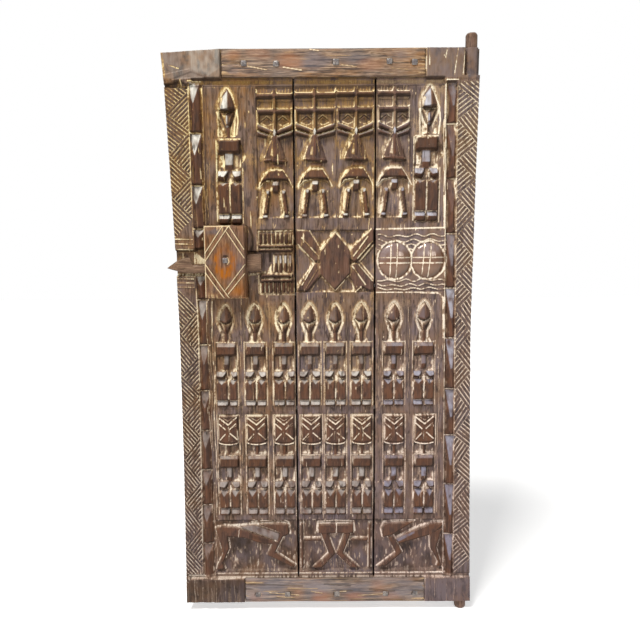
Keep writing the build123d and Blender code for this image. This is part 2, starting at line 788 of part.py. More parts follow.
def make_rail(left, right, low, nails):
    rail = bar(left, right, low, low + rail_height, rail_back, rail_front)
    return rail.cut(*[nail_hole(x, z, nail_size, rail_front, nail_length) for x, z in nails])


parts = {
    "left_plank": drilled(make_left_plank(), left_ties, nails_between(top_rail_left, left_seam_x)),
    "middle_plank": drilled(make_middle_plank(), left_ties + right_ties,
                            nails_between(left_seam_x, right_seam_x)),
    "right_plank": drilled(make_right_plank(), right_ties, nails_between(right_seam_x, 0)),
    "top_rail": make_rail(top_rail_left, top_rail_right, top_rail_low, top_nails),
    "bottom_rail": make_rail(bottom_rail_left, bottom_rail_right, 0, bottom_nails),
    "top_rail_nails": Compound([nail(x, z, nail_size, nail_head, rail_front, nail_length,
                                     nail_head_rise) for x, z in top_nails]),
    "bottom_rail_nails": Compound([nail(x, z, nail_size, nail_head, rail_front, nail_length,
                                        nail_head_rise) for x, z in bottom_nails]),
    "left_seam_ties": Compound(left_ties),
    "right_seam_ties": Compound(right_ties),
    "lock_case": make_lock_case(),
    "lock_bolt": make_lock_bolt(),
    "lock_nail": nail(lock_nail_x, lock_nail_z, lock_nail_size, lock_nail_head, case_front,
                      lock_nail_length, nail_head_rise),
}
for i, x in enumerate(tumbler_x):
    parts["tumbler_%d" % (i + 1)] = make_tumbler(x)

os.makedirs("parts", exist_ok=True)
for name, shape in parts.items():
    export_step(shape, "parts/%s.step" % name)
    print(name, "volume %.0f" % shape.volume)
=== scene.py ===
from functools import partial
import math

import bpy
import numpy as np
from mathutils import Matrix, Vector


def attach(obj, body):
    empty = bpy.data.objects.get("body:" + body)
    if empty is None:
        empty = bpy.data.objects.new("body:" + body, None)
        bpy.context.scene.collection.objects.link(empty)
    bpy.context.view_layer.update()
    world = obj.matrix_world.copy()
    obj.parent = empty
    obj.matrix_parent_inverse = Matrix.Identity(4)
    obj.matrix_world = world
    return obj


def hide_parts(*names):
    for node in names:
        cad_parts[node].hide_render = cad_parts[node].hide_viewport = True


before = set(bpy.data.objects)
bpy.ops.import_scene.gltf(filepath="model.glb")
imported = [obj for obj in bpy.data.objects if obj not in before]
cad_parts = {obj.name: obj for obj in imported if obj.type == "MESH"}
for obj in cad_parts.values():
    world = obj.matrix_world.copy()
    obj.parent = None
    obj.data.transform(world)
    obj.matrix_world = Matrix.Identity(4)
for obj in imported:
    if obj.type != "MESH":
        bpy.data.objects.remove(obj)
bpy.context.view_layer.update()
scene = bpy.context.scene
print("frame loaded")

# Lengths below are millimetres in the door's own frame unless a name says otherwise.
metre = 0.001
front = 21.0        # rise of the uncarved face above the middle of the planks
field = 15.0        # strips left between the figures
ground = 9.0        # sunk ground round the figures
planksTop = 1435.0
middleLine = -339.25     # upright axis of the middle plank
rail = {"low": 1367.0, "footHigh": 68.0, "left": -617.0, "right": -115.0, "footLeft": -585.0, "footRight": -101.0}

cameraPlan = {"place": (-0.3785, -1.449, 0.9208), "pitch": 6.1, "roll": -0.36, "lens": 31.5, "sensor": 36.0}
cameraData = bpy.data.cameras.new("camera")
cameraData.lens = cameraPlan["lens"]
cameraData.sensor_width = cameraPlan["sensor"]
camera = bpy.data.objects.new("camera", cameraData)
scene.collection.objects.link(camera)
camera.matrix_world = (Matrix.Translation(cameraPlan["place"])
                       @ Matrix.Rotation(math.radians(90 - cameraPlan["pitch"]), 4, "X")
                       @ Matrix.Rotation(math.radians(cameraPlan["roll"]), 4, "Z"))
scene.camera = camera
scene.view_settings.view_transform = "Standard"


# A colour from its web code, as linear light
def tint(code):
    parts = [int(code[i:i + 2], 16) / 255 for i in (1, 3, 5)]
    return tuple(p / 12.92 if p <= 0.04045 else ((p + 0.055) / 1.055) ** 2.4 for p in parts) + (1.0,)


# A new node with its inputs linked or filled in
def node(tree, kind, links=None, values=None, **settings):
    made = tree.nodes.new(kind)
    for key, value in settings.items():
        setattr(made, key, value)
    for key, value in (values or {}).items():
        made.inputs[key].default_value = value
    for key, socket in (links or {}).items():
        tree.links.new(socket, made.inputs[key])
    return made


# Arithmetic on two numbers or sockets
def calc(tree, operation, first, second=0.5, clamp=False):
    made = node(tree, "ShaderNodeMath", operation=operation, use_clamp=clamp)
    for i, value in enumerate((first, second)):
        if isinstance(value, (int, float)):
            made.inputs[i].default_value = value
        else:
            tree.links.new(value, made.inputs[i])
    return made.outputs[0]


# A value's range stretched on to another, clamped
def remap(tree, value, low, high, toLow=0.0, toHigh=1.0):
    made = node(tree, "ShaderNodeMapRange", {"Value": value},
                {"From Min": low, "From Max": high, "To Min": toLow, "To Max": toHigh})
    return made.outputs["Result"]


# Two colours mixed by a share; each is a colour or a socket
def blend(tree, share, first, second):
    made = node(tree, "ShaderNodeMix", data_type="RGBA")
    for i, value in ((0, share), (6, first), (7, second)):
        if isinstance(value, (int, float, tuple)):
            made.inputs[i].default_value = value
        else:
            tree.links.new(value, made.inputs[i])
    return made.outputs[2]


def noise(tree, place, scale, detail=4.0, rough=0.55, distortion=0.0):
    made = node(tree, "ShaderNodeTexNoise", {"Vector": place},
                {"Scale": scale, "Detail": detail, "Roughness": rough, "Distortion": distortion})
    return made.outputs["Fac"]


def groupOf(name, inputs, outputs):
    group = bpy.data.node_groups.new(name, "ShaderNodeTree")
    for label, kind in inputs:
        group.interface.new_socket(label, in_out="INPUT", socket_type=kind)
    for label, kind in outputs:
        group.interface.new_socket(label, in_out="OUTPUT", socket_type=kind)
    return group, group.nodes.new("NodeGroupInput"), group.nodes.new("NodeGroupOutput")


# for each output: the place it reads, its scale, detail, roughness and distortion
grainPlan = {"Streaks": ("along", 1.0, 5.0, 0.62, 0.35), "Fibres": ("along", 3.6, 3.0, 0.6, 0.1),
             "Blotches": ("plain", 13.0, 3.0, 0.5, 0.0), "Specks": ("plain", 620.0, 2.0, 0.6, 0.0),
             "Clouds": ("loose", 1.0, 4.0, 0.6, 0.4)}
looseStretch = {"share": (0.22, 0.22, 0.22), "added": (24.0, 24.0, 24.0)}


# Streaks along the grain, broad blotches, clouds and fine specks, from one point and the grain's stretch
def makeGrainGroup():
    group, given, out = groupOf("grain", [("Place", "NodeSocketVector"), ("Stretch", "NodeSocketVector")],
                                [(label, "NodeSocketFloat") for label in grainPlan])
    place, stretch = given.outputs[0], given.outputs[1]
    along = node(group, "ShaderNodeVectorMath", {0: place, 1: stretch}, operation="MULTIPLY")
    loose = node(group, "ShaderNodeVectorMath", {0: stretch}, {1: looseStretch["share"], 2: looseStretch["added"]},
                 operation="MULTIPLY_ADD")
    loose = node(group, "ShaderNodeVectorMath", {0: place, 1: loose.outputs[0]}, operation="MULTIPLY")
    places = {"plain": place, "along": along.outputs[0], "loose": loose.outputs[0]}
    for i, (kind, *values) in enumerate(grainPlan.values()):
        group.links.new(noise(group, places[kind], *values), out.inputs[i])
    return group


grainGroup = makeGrainGroup()


# colour of the soot-and-shade mask: real soot, and painted shade in hollows, under forms and on their sides turned
# from the lamp
sootAndShadeColour = "#1d1109"
shineRange = (0.2, 1.0)     # plain wood and its glossy bosses
shineTint = (1.0, 0.86, 0.72, 1.0)


# Old carved wood. Point masks on the mesh say where clay, dust, polish and soot lie, and where light and shade are
# painted: the pale mask paints light on facets turned to the lamp, the soot mask paints shade
def woodMaterial(name, plan):
    material = bpy.data.materials.new(name)
    material.use_nodes = True
    tree = material.node_tree
    mix, ramp = partial(blend, tree), partial(remap, tree)
    times, plus, minus = (partial(calc, tree, operation) for operation in ("MULTIPLY", "ADD", "SUBTRACT"))
    shader = tree.nodes["Principled BSDF"]
    place = node(tree, "ShaderNodeTexCoord").outputs["Object"]
    stretch = node(tree, "ShaderNodeCombineXYZ", values=dict(enumerate(plan["stretch"]))).outputs[0]
    grain = node(tree, "ShaderNodeGroup", node_tree=grainGroup)
    tree.links.new(place, grain.inputs[0])
    tree.links.new(stretch, grain.inputs[1])
    streaks, fibres, blotches, specks, clouds = (grain.outputs[i] for i in range(5))
    height = node(tree, "ShaderNodeSeparateXYZ", {0: place}).outputs["Z"]
    high = ramp(plus(height, times(blotches, 0.5)), 0.45, 1.55)

    # A colour that changes from the foot of the door to its head, where the plan gives two
    def risen(key):
        pair = plan[key]
        return tint(pair) if isinstance(pair, str) else mix(high, tint(pair[0]), tint(pair[1]))

    patch = ramp(plus(blotches, times(clouds, 0.5)), 0.62, 0.86)
    colour = mix(patch, risen("cool"), risen("warm"))
    colour = mix(ramp(clouds, 0.5, 0.64, 0.0, plan.get("cloudShare", 0.6)), colour, tint(plan["cloud"]))
    masks = {}
    for label in plan.get("masks", []):
        masks[label] = node(tree, "ShaderNodeAttribute", attribute_name=label).outputs["Fac"]
    dark = ramp(streaks, 0.47, 0.6, 0.0, plan.get("darkShare", 0.8))
    pale = ramp(fibres, 0.5, 0.66, 0.0, plan.get("lightShare", 0.65))
    if "calm" in masks:
        lively = ramp(masks["calm"], 0.0, 1.0, 1.0, 0.22)
        dark, pale = times(dark, lively), times(pale, lively)
    colour = mix(dark, colour, tint(plan["deep"]))
    colour = mix(pale, colour, tint(plan["light"]))
    if "polish" in masks:
        worn = mix(ramp(plus(clouds, times(streaks, 0.5)), 0.64, 0.86),
                   tint(plan["polish"]), tint(plan["polishDeep"]))
        worn = mix(ramp(fibres, 0.5, 0.72, 0.0, 0.4), worn, tint(plan["polishLight"]))
        colour = mix(times(masks["polish"], plan.get("polishShare", 0.9)), colour, worn)
    if "gloss" in masks:
        glossy = mix(clouds, *(tint(code) for code in plan["glossColours"]))
        colour = mix(times(masks["gloss"], 0.72), colour, glossy)
    if "stain" in masks:
        stain = times(masks["stain"], ramp(plus(streaks, times(specks, 0.5)), 0.5, 0.85, 0.25, 1.0))
        colour = mix(stain, colour, tint(plan["stain"]))
    crumbs = plus(times(specks, 0.5), times(fibres, 0.5))
    # pale mask: dust, and painted light on facets that face the lamp
    if "pale" in masks:
        dustAndLitFacets = times(masks["pale"], ramp(crumbs, 0.32, 0.56, 0.6, 1.0))
        colour = mix(dustAndLitFacets, colour, risen("dustAndLitFacets"))
    # clay mask: rubbed clay, and cream painted light on slopes that face up and left
    if "clay" in masks:
        amount = plus(masks["clay"], times(minus(crumbs, 0.5), 1.7))
        laid = times(ramp(masks["clay"], 0.03, 0.25), ramp(amount, 0.05, 0.6, 0.0, 0.85))
        colour = mix(laid, colour, risen("clayDeep"))
        clay = times(ramp(masks["clay"], 0.1, 0.3), ramp(amount, 0.5, 1.05))
        colour = mix(clay, colour, risen("clay"))
    # soot mask: real soot, and painted shade and shadow lines
    if "sootAndShade" in masks:
        colour = mix(times(masks["sootAndShade"], 0.88), colour, tint(sootAndShadeColour))
    tree.links.new(colour, shader.inputs["Base Color"])

    gloss = ramp(streaks, 0.35, 0.65, plan["rough"] - 0.05, plan["rough"] + 0.14)
    if "polish" in masks:
        gloss = minus(gloss, times(masks["polish"], plan.get("sheen", 0.08)))
    if "gloss" in masks:
        gloss = minus(gloss, times(masks["gloss"], plan["glossSheen"]))
        tree.links.new(ramp(masks["gloss"], 0.0, 1.0, shineRange[0], shineRange[1]),
                       shader.inputs["Specular IOR Level"])
    else:
        shader.inputs["Specular IOR Level"].default_value = shineRange[0]
    if "clay" in masks:
        gloss = plus(gloss, times(clay, 0.4), clamp=True)
    tree.links.new(gloss, shader.inputs["Roughness"])
    shader.inputs["Specular Tint"].default_value = shineTint
    rise = plus(times(streaks, 0.5), plus(times(fibres, 0.4), times(specks, 0.22)))
    if "gloss" in masks:
        rise = times(rise, ramp(masks["gloss"], 0.0, 1.0, 1.0, 0.15))
    bump = node(tree, "ShaderNodeBump", {"Height": rise}, {"Strength": plan.get("bump", 0.55), "Distance": 0.0013})
    tree.links.new(bump.outputs[0], shader.inputs["Normal"])
    return material


# Forged iron: grey, pitted, with brown rust in the pits
def ironMaterial(name, plan):
    material = bpy.data.materials.new(name)
    material.use_nodes = True
    tree = material.node_tree
    mix, ramp = partial(blend, tree), partial(remap, tree)
    shader = tree.nodes["Principled BSDF"]
    place = node(tree, "ShaderNodeTexCoord").outputs["Object"]
    pits = noise(tree, place, 420.0, 5.0, 0.65)
    patches = noise(tree, place, 110.0, 3.0, 0.5)
    colour = mix(ramp(patches, 0.4, 0.62), tint(plan["dark"]), tint(plan["pale"]))
    colour = mix(ramp(pits, 0.5, 0.66), colour, tint(plan["rust"]))
    tree.links.new(colour, shader.inputs["Base Color"])
    tree.links.new(ramp(pits, 0.42, 0.6, 0.6, 0.15), shader.inputs["Metallic"])
    tree.links.new(ramp(pits, 0.3, 0.7, 0.34, 0.75), shader.inputs["Roughness"])
    bump = node(tree, "ShaderNodeBump", {"Height": pits}, {"Strength": 0.6, "Distance": 0.0008})
    tree.links.new(bump.outputs[0], shader.inputs["Normal"])
    return material


plankPlan = {
    "stretch": (150.0, 150.0, 8.0), "cool": ("#6a5b5c", "#6f5a4e"), "warm": ("#735644", "#7b5837"),
    "cloud": "#3b302e",
    "deep": "#2b1d12", "light": "#a28c76", "polish": "#5f3b27", "polishDeep": "#422d26", "polishLight": "#7f5d4b",
    "clay": ("#f6eada", "#f8e9b8"), "clayDeep": ("#a88d78", "#a57f42"), "dustAndLitFacets": ("#a59b97", "#e3e0d4"),
    "rough": 0.42, "darkShare": 0.55, "lightShare": 0.34, "cloudShare": 0.85,
    "glossColours": ("#4f2c1b", "#81502f"), "glossSheen": 0.24,
    "masks": ["clay", "pale", "polish", "sootAndShade", "gloss", "calm"]}
plankWood = woodMaterial("plankWood", plankPlan)
coreWood = woodMaterial("coreWood", dict(
    plankPlan, cool=("#6b5d62", "#6e5d58"), warm=("#6f574e", "#765b42"), clay=("#f7e8da", "#f8e9be"),
    cloud="#40363b"))
hingeWood = woodMaterial("hingeWood", dict(
    plankPlan, cool=("#6c5d5f", "#746462"), warm=("#755b50", "#7b5f48"), clay=("#f8e6d8", "#faefd6"),
    clayDeep=("#ab9080", "#ae916b"), dustAndLitFacets=("#9391a3", "#bdbcc2"), cloud="#443b40"))
railWood = woodMaterial("railWood", {
    "stretch": (8.0, 150.0, 150.0), "cool": "#786554", "warm": "#8a6440", "cloud": "#4a3a2e", "deep": "#281a11",
    "light": "#bd9f80", "polish": "#625d64", "polishDeep": "#47444b", "polishLight": "#8d8486", "polishShare": 0.8,
    "stain": "#a9683a", "clay": "#f0e0c4", "clayDeep": "#b8966a", "rough": 0.46, "sheen": 0.0,
    "darkShare": 0.9, "lightShare": 0.7, "dustAndLitFacets": "#a9a2a6", "bump": 0.8,
    "masks": ["clay", "pale", "polish", "sootAndShade", "stain"]})
caseWood = woodMaterial("caseWood", {
    "stretch": (150.0, 150.0, 11.0), "cool": "#73574a", "warm": "#855a37", "cloud": "#523d2f", "deep": "#351f10",
    "light": "#b08d69", "polish": "#6b5d5a", "polishDeep": "#4d4648", "polishLight": "#87766f", "stain": "#9f5a0c",
    "clay": "#f0e2bf", "clayDeep": "#c3a274", "rough": 0.42, "darkShare": 0.75, "lightShare": 0.45,
    "masks": ["clay", "polish", "stain", "sootAndShade"]})
boltWood = woodMaterial("boltWood", {
    "stretch": (10.0, 150.0, 150.0), "cool": "#6f594b", "warm": "#7c5b45", "cloud": "#4d3a2e", "deep": "#38281c",
    "light": "#ab8d74", "polish": "#6b4c3a", "polishDeep": "#463228", "polishLight": "#957560",
    "clay": "#e3d3ab", "clayDeep": "#b39a74", "rough": 0.43, "darkShare": 0.6, "masks": ["clay", "polish"]})
pegWood = woodMaterial("pegWood", {
    "stretch": (260.0, 260.0, 20.0), "cool": "#8a6a4c", "warm": "#9a7650", "cloud": "#775a40", "deep": "#5f4630",
    "light": "#b39268", "rough": 0.55})
iron = ironMaterial("iron", {"dark": "#5f5b5b", "pale": "#938b84", "rust": "#4f382a"})
print("materials made")


# 0 below 0, 1 above 1, and a smooth step between
def soft(value):
    t = np.clip(value, 0, 1)
    return t * t * (3 - 2 * t)


# Angles once round, the last short of the first
def fullTurn(count):
    return np.linspace(0, 2 * np.pi, count + 1)[:-1]


# How far inside a plan each point lies; negative outside it
def insideBy(x, z, points):
    nearest = np.full(x.shape, 1e9)
    inside = np.zeros(x.shape, bool)
    for (ax, az), (bx, bz) in zip(points, points[1:] + points[:1]):
        ex, ez = bx - ax, bz - az
        along = np.clip(((x - ax) * ex + (z - az) * ez) / (ex * ex + ez * ez), 0, 1)
        nearest = np.minimum(nearest, (x - ax - along * ex) ** 2 + (z - az - along * ez) ** 2)
        if az != bz:
            inside ^= ((az <= z) != (bz <= z)) & (x < ax + (z - az) * ex / ez)
    return np.where(inside, 1, -1) * np.sqrt(nearest)


# How far each point lies from a line through those points
def lineDistance(x, z, points):
    nearest = np.full(x.shape, 1e9)
    for (ax, az), (bx, bz) in zip(points[:-1], points[1:]):
        ex, ez = bx - ax, bz - az
        along = np.clip(((x - ax) * ex + (z - az) * ez) / (ex * ex + ez * ez), 0, 1)
        nearest = np.minimum(nearest, (x - ax - along * ex) ** 2 + (z - az - along * ez) ** 2)
    return np.sqrt(nearest)


# A grid blurred by a bell curve of that many cells up and across
def smoothed(values, upCells, acrossCells):
    padUp, padAcross = int(3 * upCells) + 1, int(3 * acrossCells) + 1
    wide = np.pad(values, ((padUp, padUp), (padAcross, padAcross)), mode="edge")
    up = np.exp(-2 * (np.pi * np.fft.fftfreq(wide.shape[0]) * upCells) ** 2)
    across = np.exp(-2 * (np.pi * np.fft.rfftfreq(wide.shape[1]) * acrossCells) ** 2)
    wide = np.fft.irfft2(np.fft.rfft2(wide) * up[:, None] * across, s=wide.shape)
    return wide[padUp:-padUp, padAcross:-padAcross]


# Smooth random hills, about -1 to 1, the same on each run
def roughness(shape, upCells, acrossCells, seed):
    hills = smoothed(np.random.default_rng(seed).normal(size=shape), upCells, acrossCells)
    return hills / (hills.std() * 2)


maskNames = ("clay", "pale", "polish", "sootAndShade", "stain", "gloss", "calm")


# Corners of an upright rectangle
def box(left, right, low, high):
    return [(left, low), (right, low), (right, high), (left, high)]


# The front of a board: heights and finish masks on a grid that fits between its edges
class Carving:
    coarse = 6    # cells of the front for each cell of the back

    def __init__(self, left, right, low, high, cell, level, seed, fall=None):
        def cells(length):
            return max(1, round(length / cell / self.coarse)) * self.coarse
        self.rowZ = np.linspace(low, high, cells(high - low) + 1)
        leftX = np.interp(self.rowZ, *left) if isinstance(left, tuple) else np.full(self.rowZ.shape, left)
        rightX = np.interp(self.rowZ, *right) if isinstance(right, tuple) else np.full(self.rowZ.shape, right)
        share = np.linspace(0, 1, cells((rightX - leftX).mean()) + 1)
        self.x = leftX[:, None] * (1 - share) + rightX[:, None] * share
        self.z = np.repeat(self.rowZ[:, None], len(share), 1)
        if fall:
            self.z = self.z - fall(self.x) * soft((self.z - rail["low"]) / 60)
        self.cell = cell
        self.seed = seed
        self.low, self.high = low, high
        self.colLow, self.colHigh = self.x.min(0), self.x.max(0)
        self.height = np.full(self.x.shape, float(level))
        self.masks = {label: np.zeros(self.x.shape) for label in maskNames}

    # Rows and columns that hold a plan and a margin round it
    def near(self, points, margin=6.0):
        xs, zs = [p[0] for p in points], [p[1] for p in points]
        rows = slice(np.searchsorted(self.rowZ, min(zs) - margin - 9),
                     np.searchsorted(self.rowZ, max(zs) + margin + 9))
        columns = slice(np.searchsorted(self.colHigh, min(xs) - margin),
                        np.searchsorted(self.colLow, max(xs) + margin))
        return rows, columns

    # Sinks a plan to a floor, its sides sloping over that width
    def cut(self, points, floor, slope=3.0):
        at = self.near(points)
        x, z, height = self.x[at], self.z[at], self.height[at]
        share = soft(insideBy(x, z, points) / slope)
        self.height[at] = np.minimum(height, front + 4 + (floor - front - 4) * share)

    def cutBar(self, left, right, low, high, floor, slope=3.0):
        self.cut(box(left, right, low, high), floor, slope)

    # Leaves a plan standing to a top, a number or a function of x and z
    def form(self, points, top, slope=2.0, base=ground, polish=1.0):
        at = self.near(points)
        x, z, height = self.x[at], self.z[at], self.height[at]
        depth = insideBy(x, z, points)
        share = soft(depth / slope)
        rise = top(x, z) if callable(top) else top
        self.height[at] = np.where(depth > 0, np.maximum(height, base + (rise - base) * share), height)
        self.paint("polish", points, polish)

    def bar(self, left, right, low, high, top, slope=2.0, base=ground, polish=1.0):
        self.form(box(left, right, low, high), top, slope, base, polish)

    # A run of levels (z, rise above the ground), from its low end to its high end
    def strip(self, left, right, levels, side=2.5, polish=1.0):
        zs, rises = [p[0] for p in levels], [p[1] for p in levels]
        points = box(left, right, zs[0], zs[-1])
        at = self.near(points)
        x, z, height = self.x[at], self.z[at], self.height[at]
        share = soft((x - left) / side) * soft((right - x) / side)
        rise = np.interp(z, zs, rises, left=-20, right=-20)
        self.height[at] = np.maximum(height, ground + rise * share - (share <= 0) * 30)
        self.paint("polish", points, polish)

    # A line sunk by that depth, with clay in it; its soot share paints a dark line, mostly a painted shadow under a
    # raised edge
    def groove(self, points, half, depth, clay=1.0, sootAndShade=0.0):
        at = self.near(points, half + 3)
        share = soft(1 - lineDistance(self.x[at], self.z[at], points) / half)
        self.height[at] -= depth * share
        self.lay("clay", clay * soft(share * 1.6), at)
        self.lay("sootAndShade", sootAndShade * share, at)

    # A mask raised to at least that layer
    def lay(self, label, layer, at=slice(None)):
        self.masks[label][at] = np.maximum(self.masks[label][at], layer)

    # A line laid on one mask; clay clears soot and painted shade under it
    def stroke(self, label, points, half, amount):
        at = self.near(points, half + 3)
        share = soft(1.4 * (1 - lineDistance(self.x[at], self.z[at], points) / (half * 0.9 + 0.5)))
        self.lay(label, amount * share, at)
        if label == "clay":
            self.masks["sootAndShade"][at] *= 1 - amount * share

    def rub(self, points, half, amount):
        self.stroke("clay", points, half, amount)

    # A mask set to an amount over a plan, fading in from its edge
    def paint(self, label, points, amount, edge=2.0):
        at = self.near(points)
        share = soft(insideBy(self.x[at], self.z[at], points) / edge)
        self.masks[label][at] = self.masks[label][at] * (1 - share) + amount * share

    # Clay rubbed into the ground round a plan, fading with distance; lean thins it below and to the right of it, so
    # that it also paints light falling from the upper left
    def halo(self, points, reach, amount, lean):
        at = self.near(points, reach + 2)
        x, z = self.x[at], self.z[at]
        away = -insideBy(x, z, points)
        midX, midZ = np.mean([p[0] for p in points]), np.mean([p[1] for p in points])
        spread = np.hypot(x - midX, z - midZ) + 1e-6
        side = soft(0.5 + ((x - midX) - 0.8 * (z - midZ)) / spread * 0.7)
        share = np.where(away > 0, soft(1 - away / reach), 0) * (1 - lean * side)
        self.lay("clay", amount * share, at)

    # Tool marks and grain in the surface, then clay in the hollows, painted light as cream on slopes that face up and
    # left, and painted shade on slopes that face down and in deep hollows
    def weather(self):
        def rough(up, across, number):
            return roughness(self.height.shape, up, across, self.seed + number)
        masks = self.masks
        near, broad = smoothed(self.height, 1.5, 1.5), smoothed(self.height, 4.5, 4.5)
        hollow = 0.55 * (near - self.height) + 0.45 * (broad - self.height)
        # facing and beside: how far a slope turns up and to the left, towards the lamp
        facing = (-np.gradient(near, axis=0) + 0.7 * np.gradient(near, axis=1)) / self.cell
        beside = (-np.gradient(broad, axis=0) + 0.8 * np.gradient(broad, axis=1)) / self.cell
        bare = 1 - masks["calm"]
        tooled = 0.45 * rough(14, 1.2, 0) + 0.45 * rough(5, 5, 1)
        self.height += (0.4 + 0.6 * bare) * tooled
        broken = 0.55 * rough(2.4, 0.9, 8) + 0.35 * rough(1.0, 1.0, 9)
        patchy = 0.62 + 0.5 * rough(8, 4, 2) + 0.35 * rough(7, 0.8, 3) + broken
        fade = np.clip(0.82 + self.z / planksTop * 0.25, 0, 1.05)
        # lodged and glow: clay in the hollows, heavier on their sides turned to the lamp as painted light
        lodged = soft((hollow - 0.25) / 1.1) * (0.3 + 0.9 * soft((beside + 0.1) / 0.5))
        lodged = lodged * np.clip(patchy + 0.1, 0, 1.1)
        glow = 0.7 * soft((broad - self.height) / 2.4) * (0.35 + 0.75 * soft((beside + 0.12) / 0.4))
        glow = glow * np.clip(patchy, 0, 1.1)
        # lit: cream painted light on slopes that face up and left
        lit = soft((facing - 0.35) / 0.7) * np.clip(patchy + 0.2, 0, 1) * 0.75
        scratch = soft((rough(7, 0.75, 4) - 1.05) / 0.3) * 0.85
        thread = soft((rough(26, 0.8, 5) - 0.95) / 0.35) * 0.7
        fleck = soft((rough(2.0, 0.9, 11) - 1.15) / 0.35) * 0.75
        rubbed = 0.34 * soft((rough(9, 7, 10) - 0.1) / 0.9) * np.clip(patchy, 0, 1) * (1 - masks["polish"])
        pit = soft((rough(3.5, 1.0, 12) - 0.8) / 0.35) * 0.75 * bare
        self.height -= 0.5 * scratch * bare + 0.4 * pit
        drawn = masks["clay"] * np.clip(1.2 * patchy + 0.42, 0.42, 1.12)
        # worn: clay in the hollows and the painted light of lit
        worn = np.maximum.reduce([lodged, glow, lit]) * (0.22 + 0.78 * bare)
        fallen = np.maximum.reduce([scratch, thread, fleck, rubbed]) * bare
        laid = np.maximum(worn, fallen) * (1 - 0.85 * np.clip(masks["pale"] * 1.3, 0, 1)) * (1 - 0.8 * masks["gloss"])
        masks["clay"] = np.clip(np.maximum(drawn, laid) * fade, 0, 1)
        # under: painted shade on slopes that face down and in deep hollows turned from the lamp, laid in the soot
        # mask
        under = soft((-facing - 0.15) / 0.8) * 0.85 + soft((hollow - 0.9) / 2.4) * soft((-beside + 0.08) / 0.4) * 0.6
        under = under * (1 - np.clip(1.25 * masks["clay"], 0, 1))
        masks["sootAndShade"] = np.clip(np.maximum.reduce([masks["sootAndShade"], under, pit * (1 - masks["clay"])]), 0, 1)
        masks["pale"] *= np.clip(0.8 + 0.45 * rough(3, 2, 6), 0, 1)


# A mesh object from metres, four- and three-cornered faces and their smoothness
def makeMesh(name, points, quads, triangles, smooth, material, masks=None):
    mesh = bpy.data.meshes.new(name)
    mesh.vertices.add(len(points))
    mesh.vertices.foreach_set("co", np.asarray(points, np.float32).ravel())
    corners = np.concatenate([quads.ravel(), triangles.ravel()]).astype(np.int32)
    starts = np.concatenate([np.arange(len(quads)) * 4, len(quads) * 4 + np.arange(len(triangles)) * 3])
    mesh.loops.add(len(corners))
    mesh.loops.foreach_set("vertex_index", corners)
    mesh.polygons.add(len(starts))
    mesh.polygons.foreach_set("loop_start", starts.astype(np.int32))
    mesh.polygons.foreach_set("use_smooth", smooth)
    mesh.update(calc_edges=True)
    mesh.validate()
    for label, values in (masks or {}).items():
        mesh.attributes.new(label, "FLOAT", "POINT").data.foreach_set("value", values.astype(np.float32))
    mesh.materials.append(material)
    made = bpy.data.objects.new(name, mesh)
    scene.collection.objects.link(made)
    return made


# Corner numbers of the quads of a grid of points
def gridQuads(rows, columns, offset=0, flip=False):
    corner = (np.arange(rows - 1)[:, None] * columns + np.arange(columns - 1)).ravel() + offset
    quads = np.stack([corner, corner + 1, corner + columns + 1, corner + columns], 1)
    return quads[:, ::-1] if flip else quads


# Numbers of a grid's outer points, once round
def rim(rows, columns):
    index = np.arange(rows * columns).reshape(rows, columns)
    return np.concatenate([index[0, :-1], index[:-1, -1], index[-1, :0:-1], index[:0:-1, 0]])


# A closed body: the carved front, plain sides, and a back with broad adze marks. meet: where the sides meet the
# neighbours' at the back, to the left and to the right
def board(name, carving, rows, backRise, material, replaces, body="door", backWear=1.6,
          meet=(None, None)):
    step = Carving.coarse
    x, z, height = carving.x[rows], carving.z[rows], carving.height[rows]
    count = x.shape
    backX, backZ = x[::step, ::step].copy(), z[::step, ::step]
    for column, place in zip((0, -1), meet):
        if place is not None:
            backX[:, column] = place
    hollows = 0.5 + 0.5 * roughness(backX.shape, 1.5, 2.5, carving.seed + 7)
    edge = np.minimum.reduce([backX - backX[:, :1], backX[:, -1:] - backX, backZ - carving.low, carving.high - backZ])
    backY = -backRise - backWear * np.clip(hollows, 0, 1) - 2.5 * (1 - soft(edge / 6))
    points = np.concatenate([
        np.stack([x, -height, z], -1).reshape(-1, 3),
        np.stack([backX, backY, backZ], -1).reshape(-1, 3)]) * metre
    frontCount = count[0] * count[1]
    quads = np.concatenate([gridQuads(*count), gridQuads(*backX.shape, frontCount, True)])
    fine, broad = rim(*count), rim(*backX.shape) + frontCount
    fine, nextFine = fine.reshape(-1, step), np.roll(fine, -1).reshape(-1, step)
    here, there = broad, np.roll(broad, -1)
    half = step // 2
    triangles = np.concatenate(
        [np.stack([nextFine[:, i], fine[:, i], here if i < half else there], 1) for i in range(step)]
        + [np.stack([fine[:, half], here, there], 1)])
    smooth = np.concatenate([np.ones(len(quads), bool), np.zeros(len(triangles), bool)])
    # painted shade on the back edges where a plank meets its neighbour, so the gap between planks reads dark
    seamShade = np.zeros(backX.shape)
    for column, place in zip((0, -1), meet):
        seamShade[:, column] = place is not None
    masks = {label: np.concatenate([values[rows].ravel(), (seamShade if label == "sootAndShade" else 0 * seamShade).ravel()])
             for label, values in carving.masks.items()}
    made = makeMesh(name, points, quads, triangles, smooth, material, masks)
    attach(made, body)
    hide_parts(*replaces)
    return made


# Row slices of a carving between those heights, on the back's coarse grid
def zones(carving, heights):
    step = Carving.coarse
    last = len(carving.rowZ) - 1
    marks = [0] + [round(np.searchsorted(carving.rowZ, z) / step) * step for z in heights] + [last]
    return [slice(low, high + 1) for low, high in zip(marks[:-1], marks[1:])]


# A plan turned over an upright axis
def mirrored(points, axis):
    return [(2 * axis - x, z) for x, z in points]


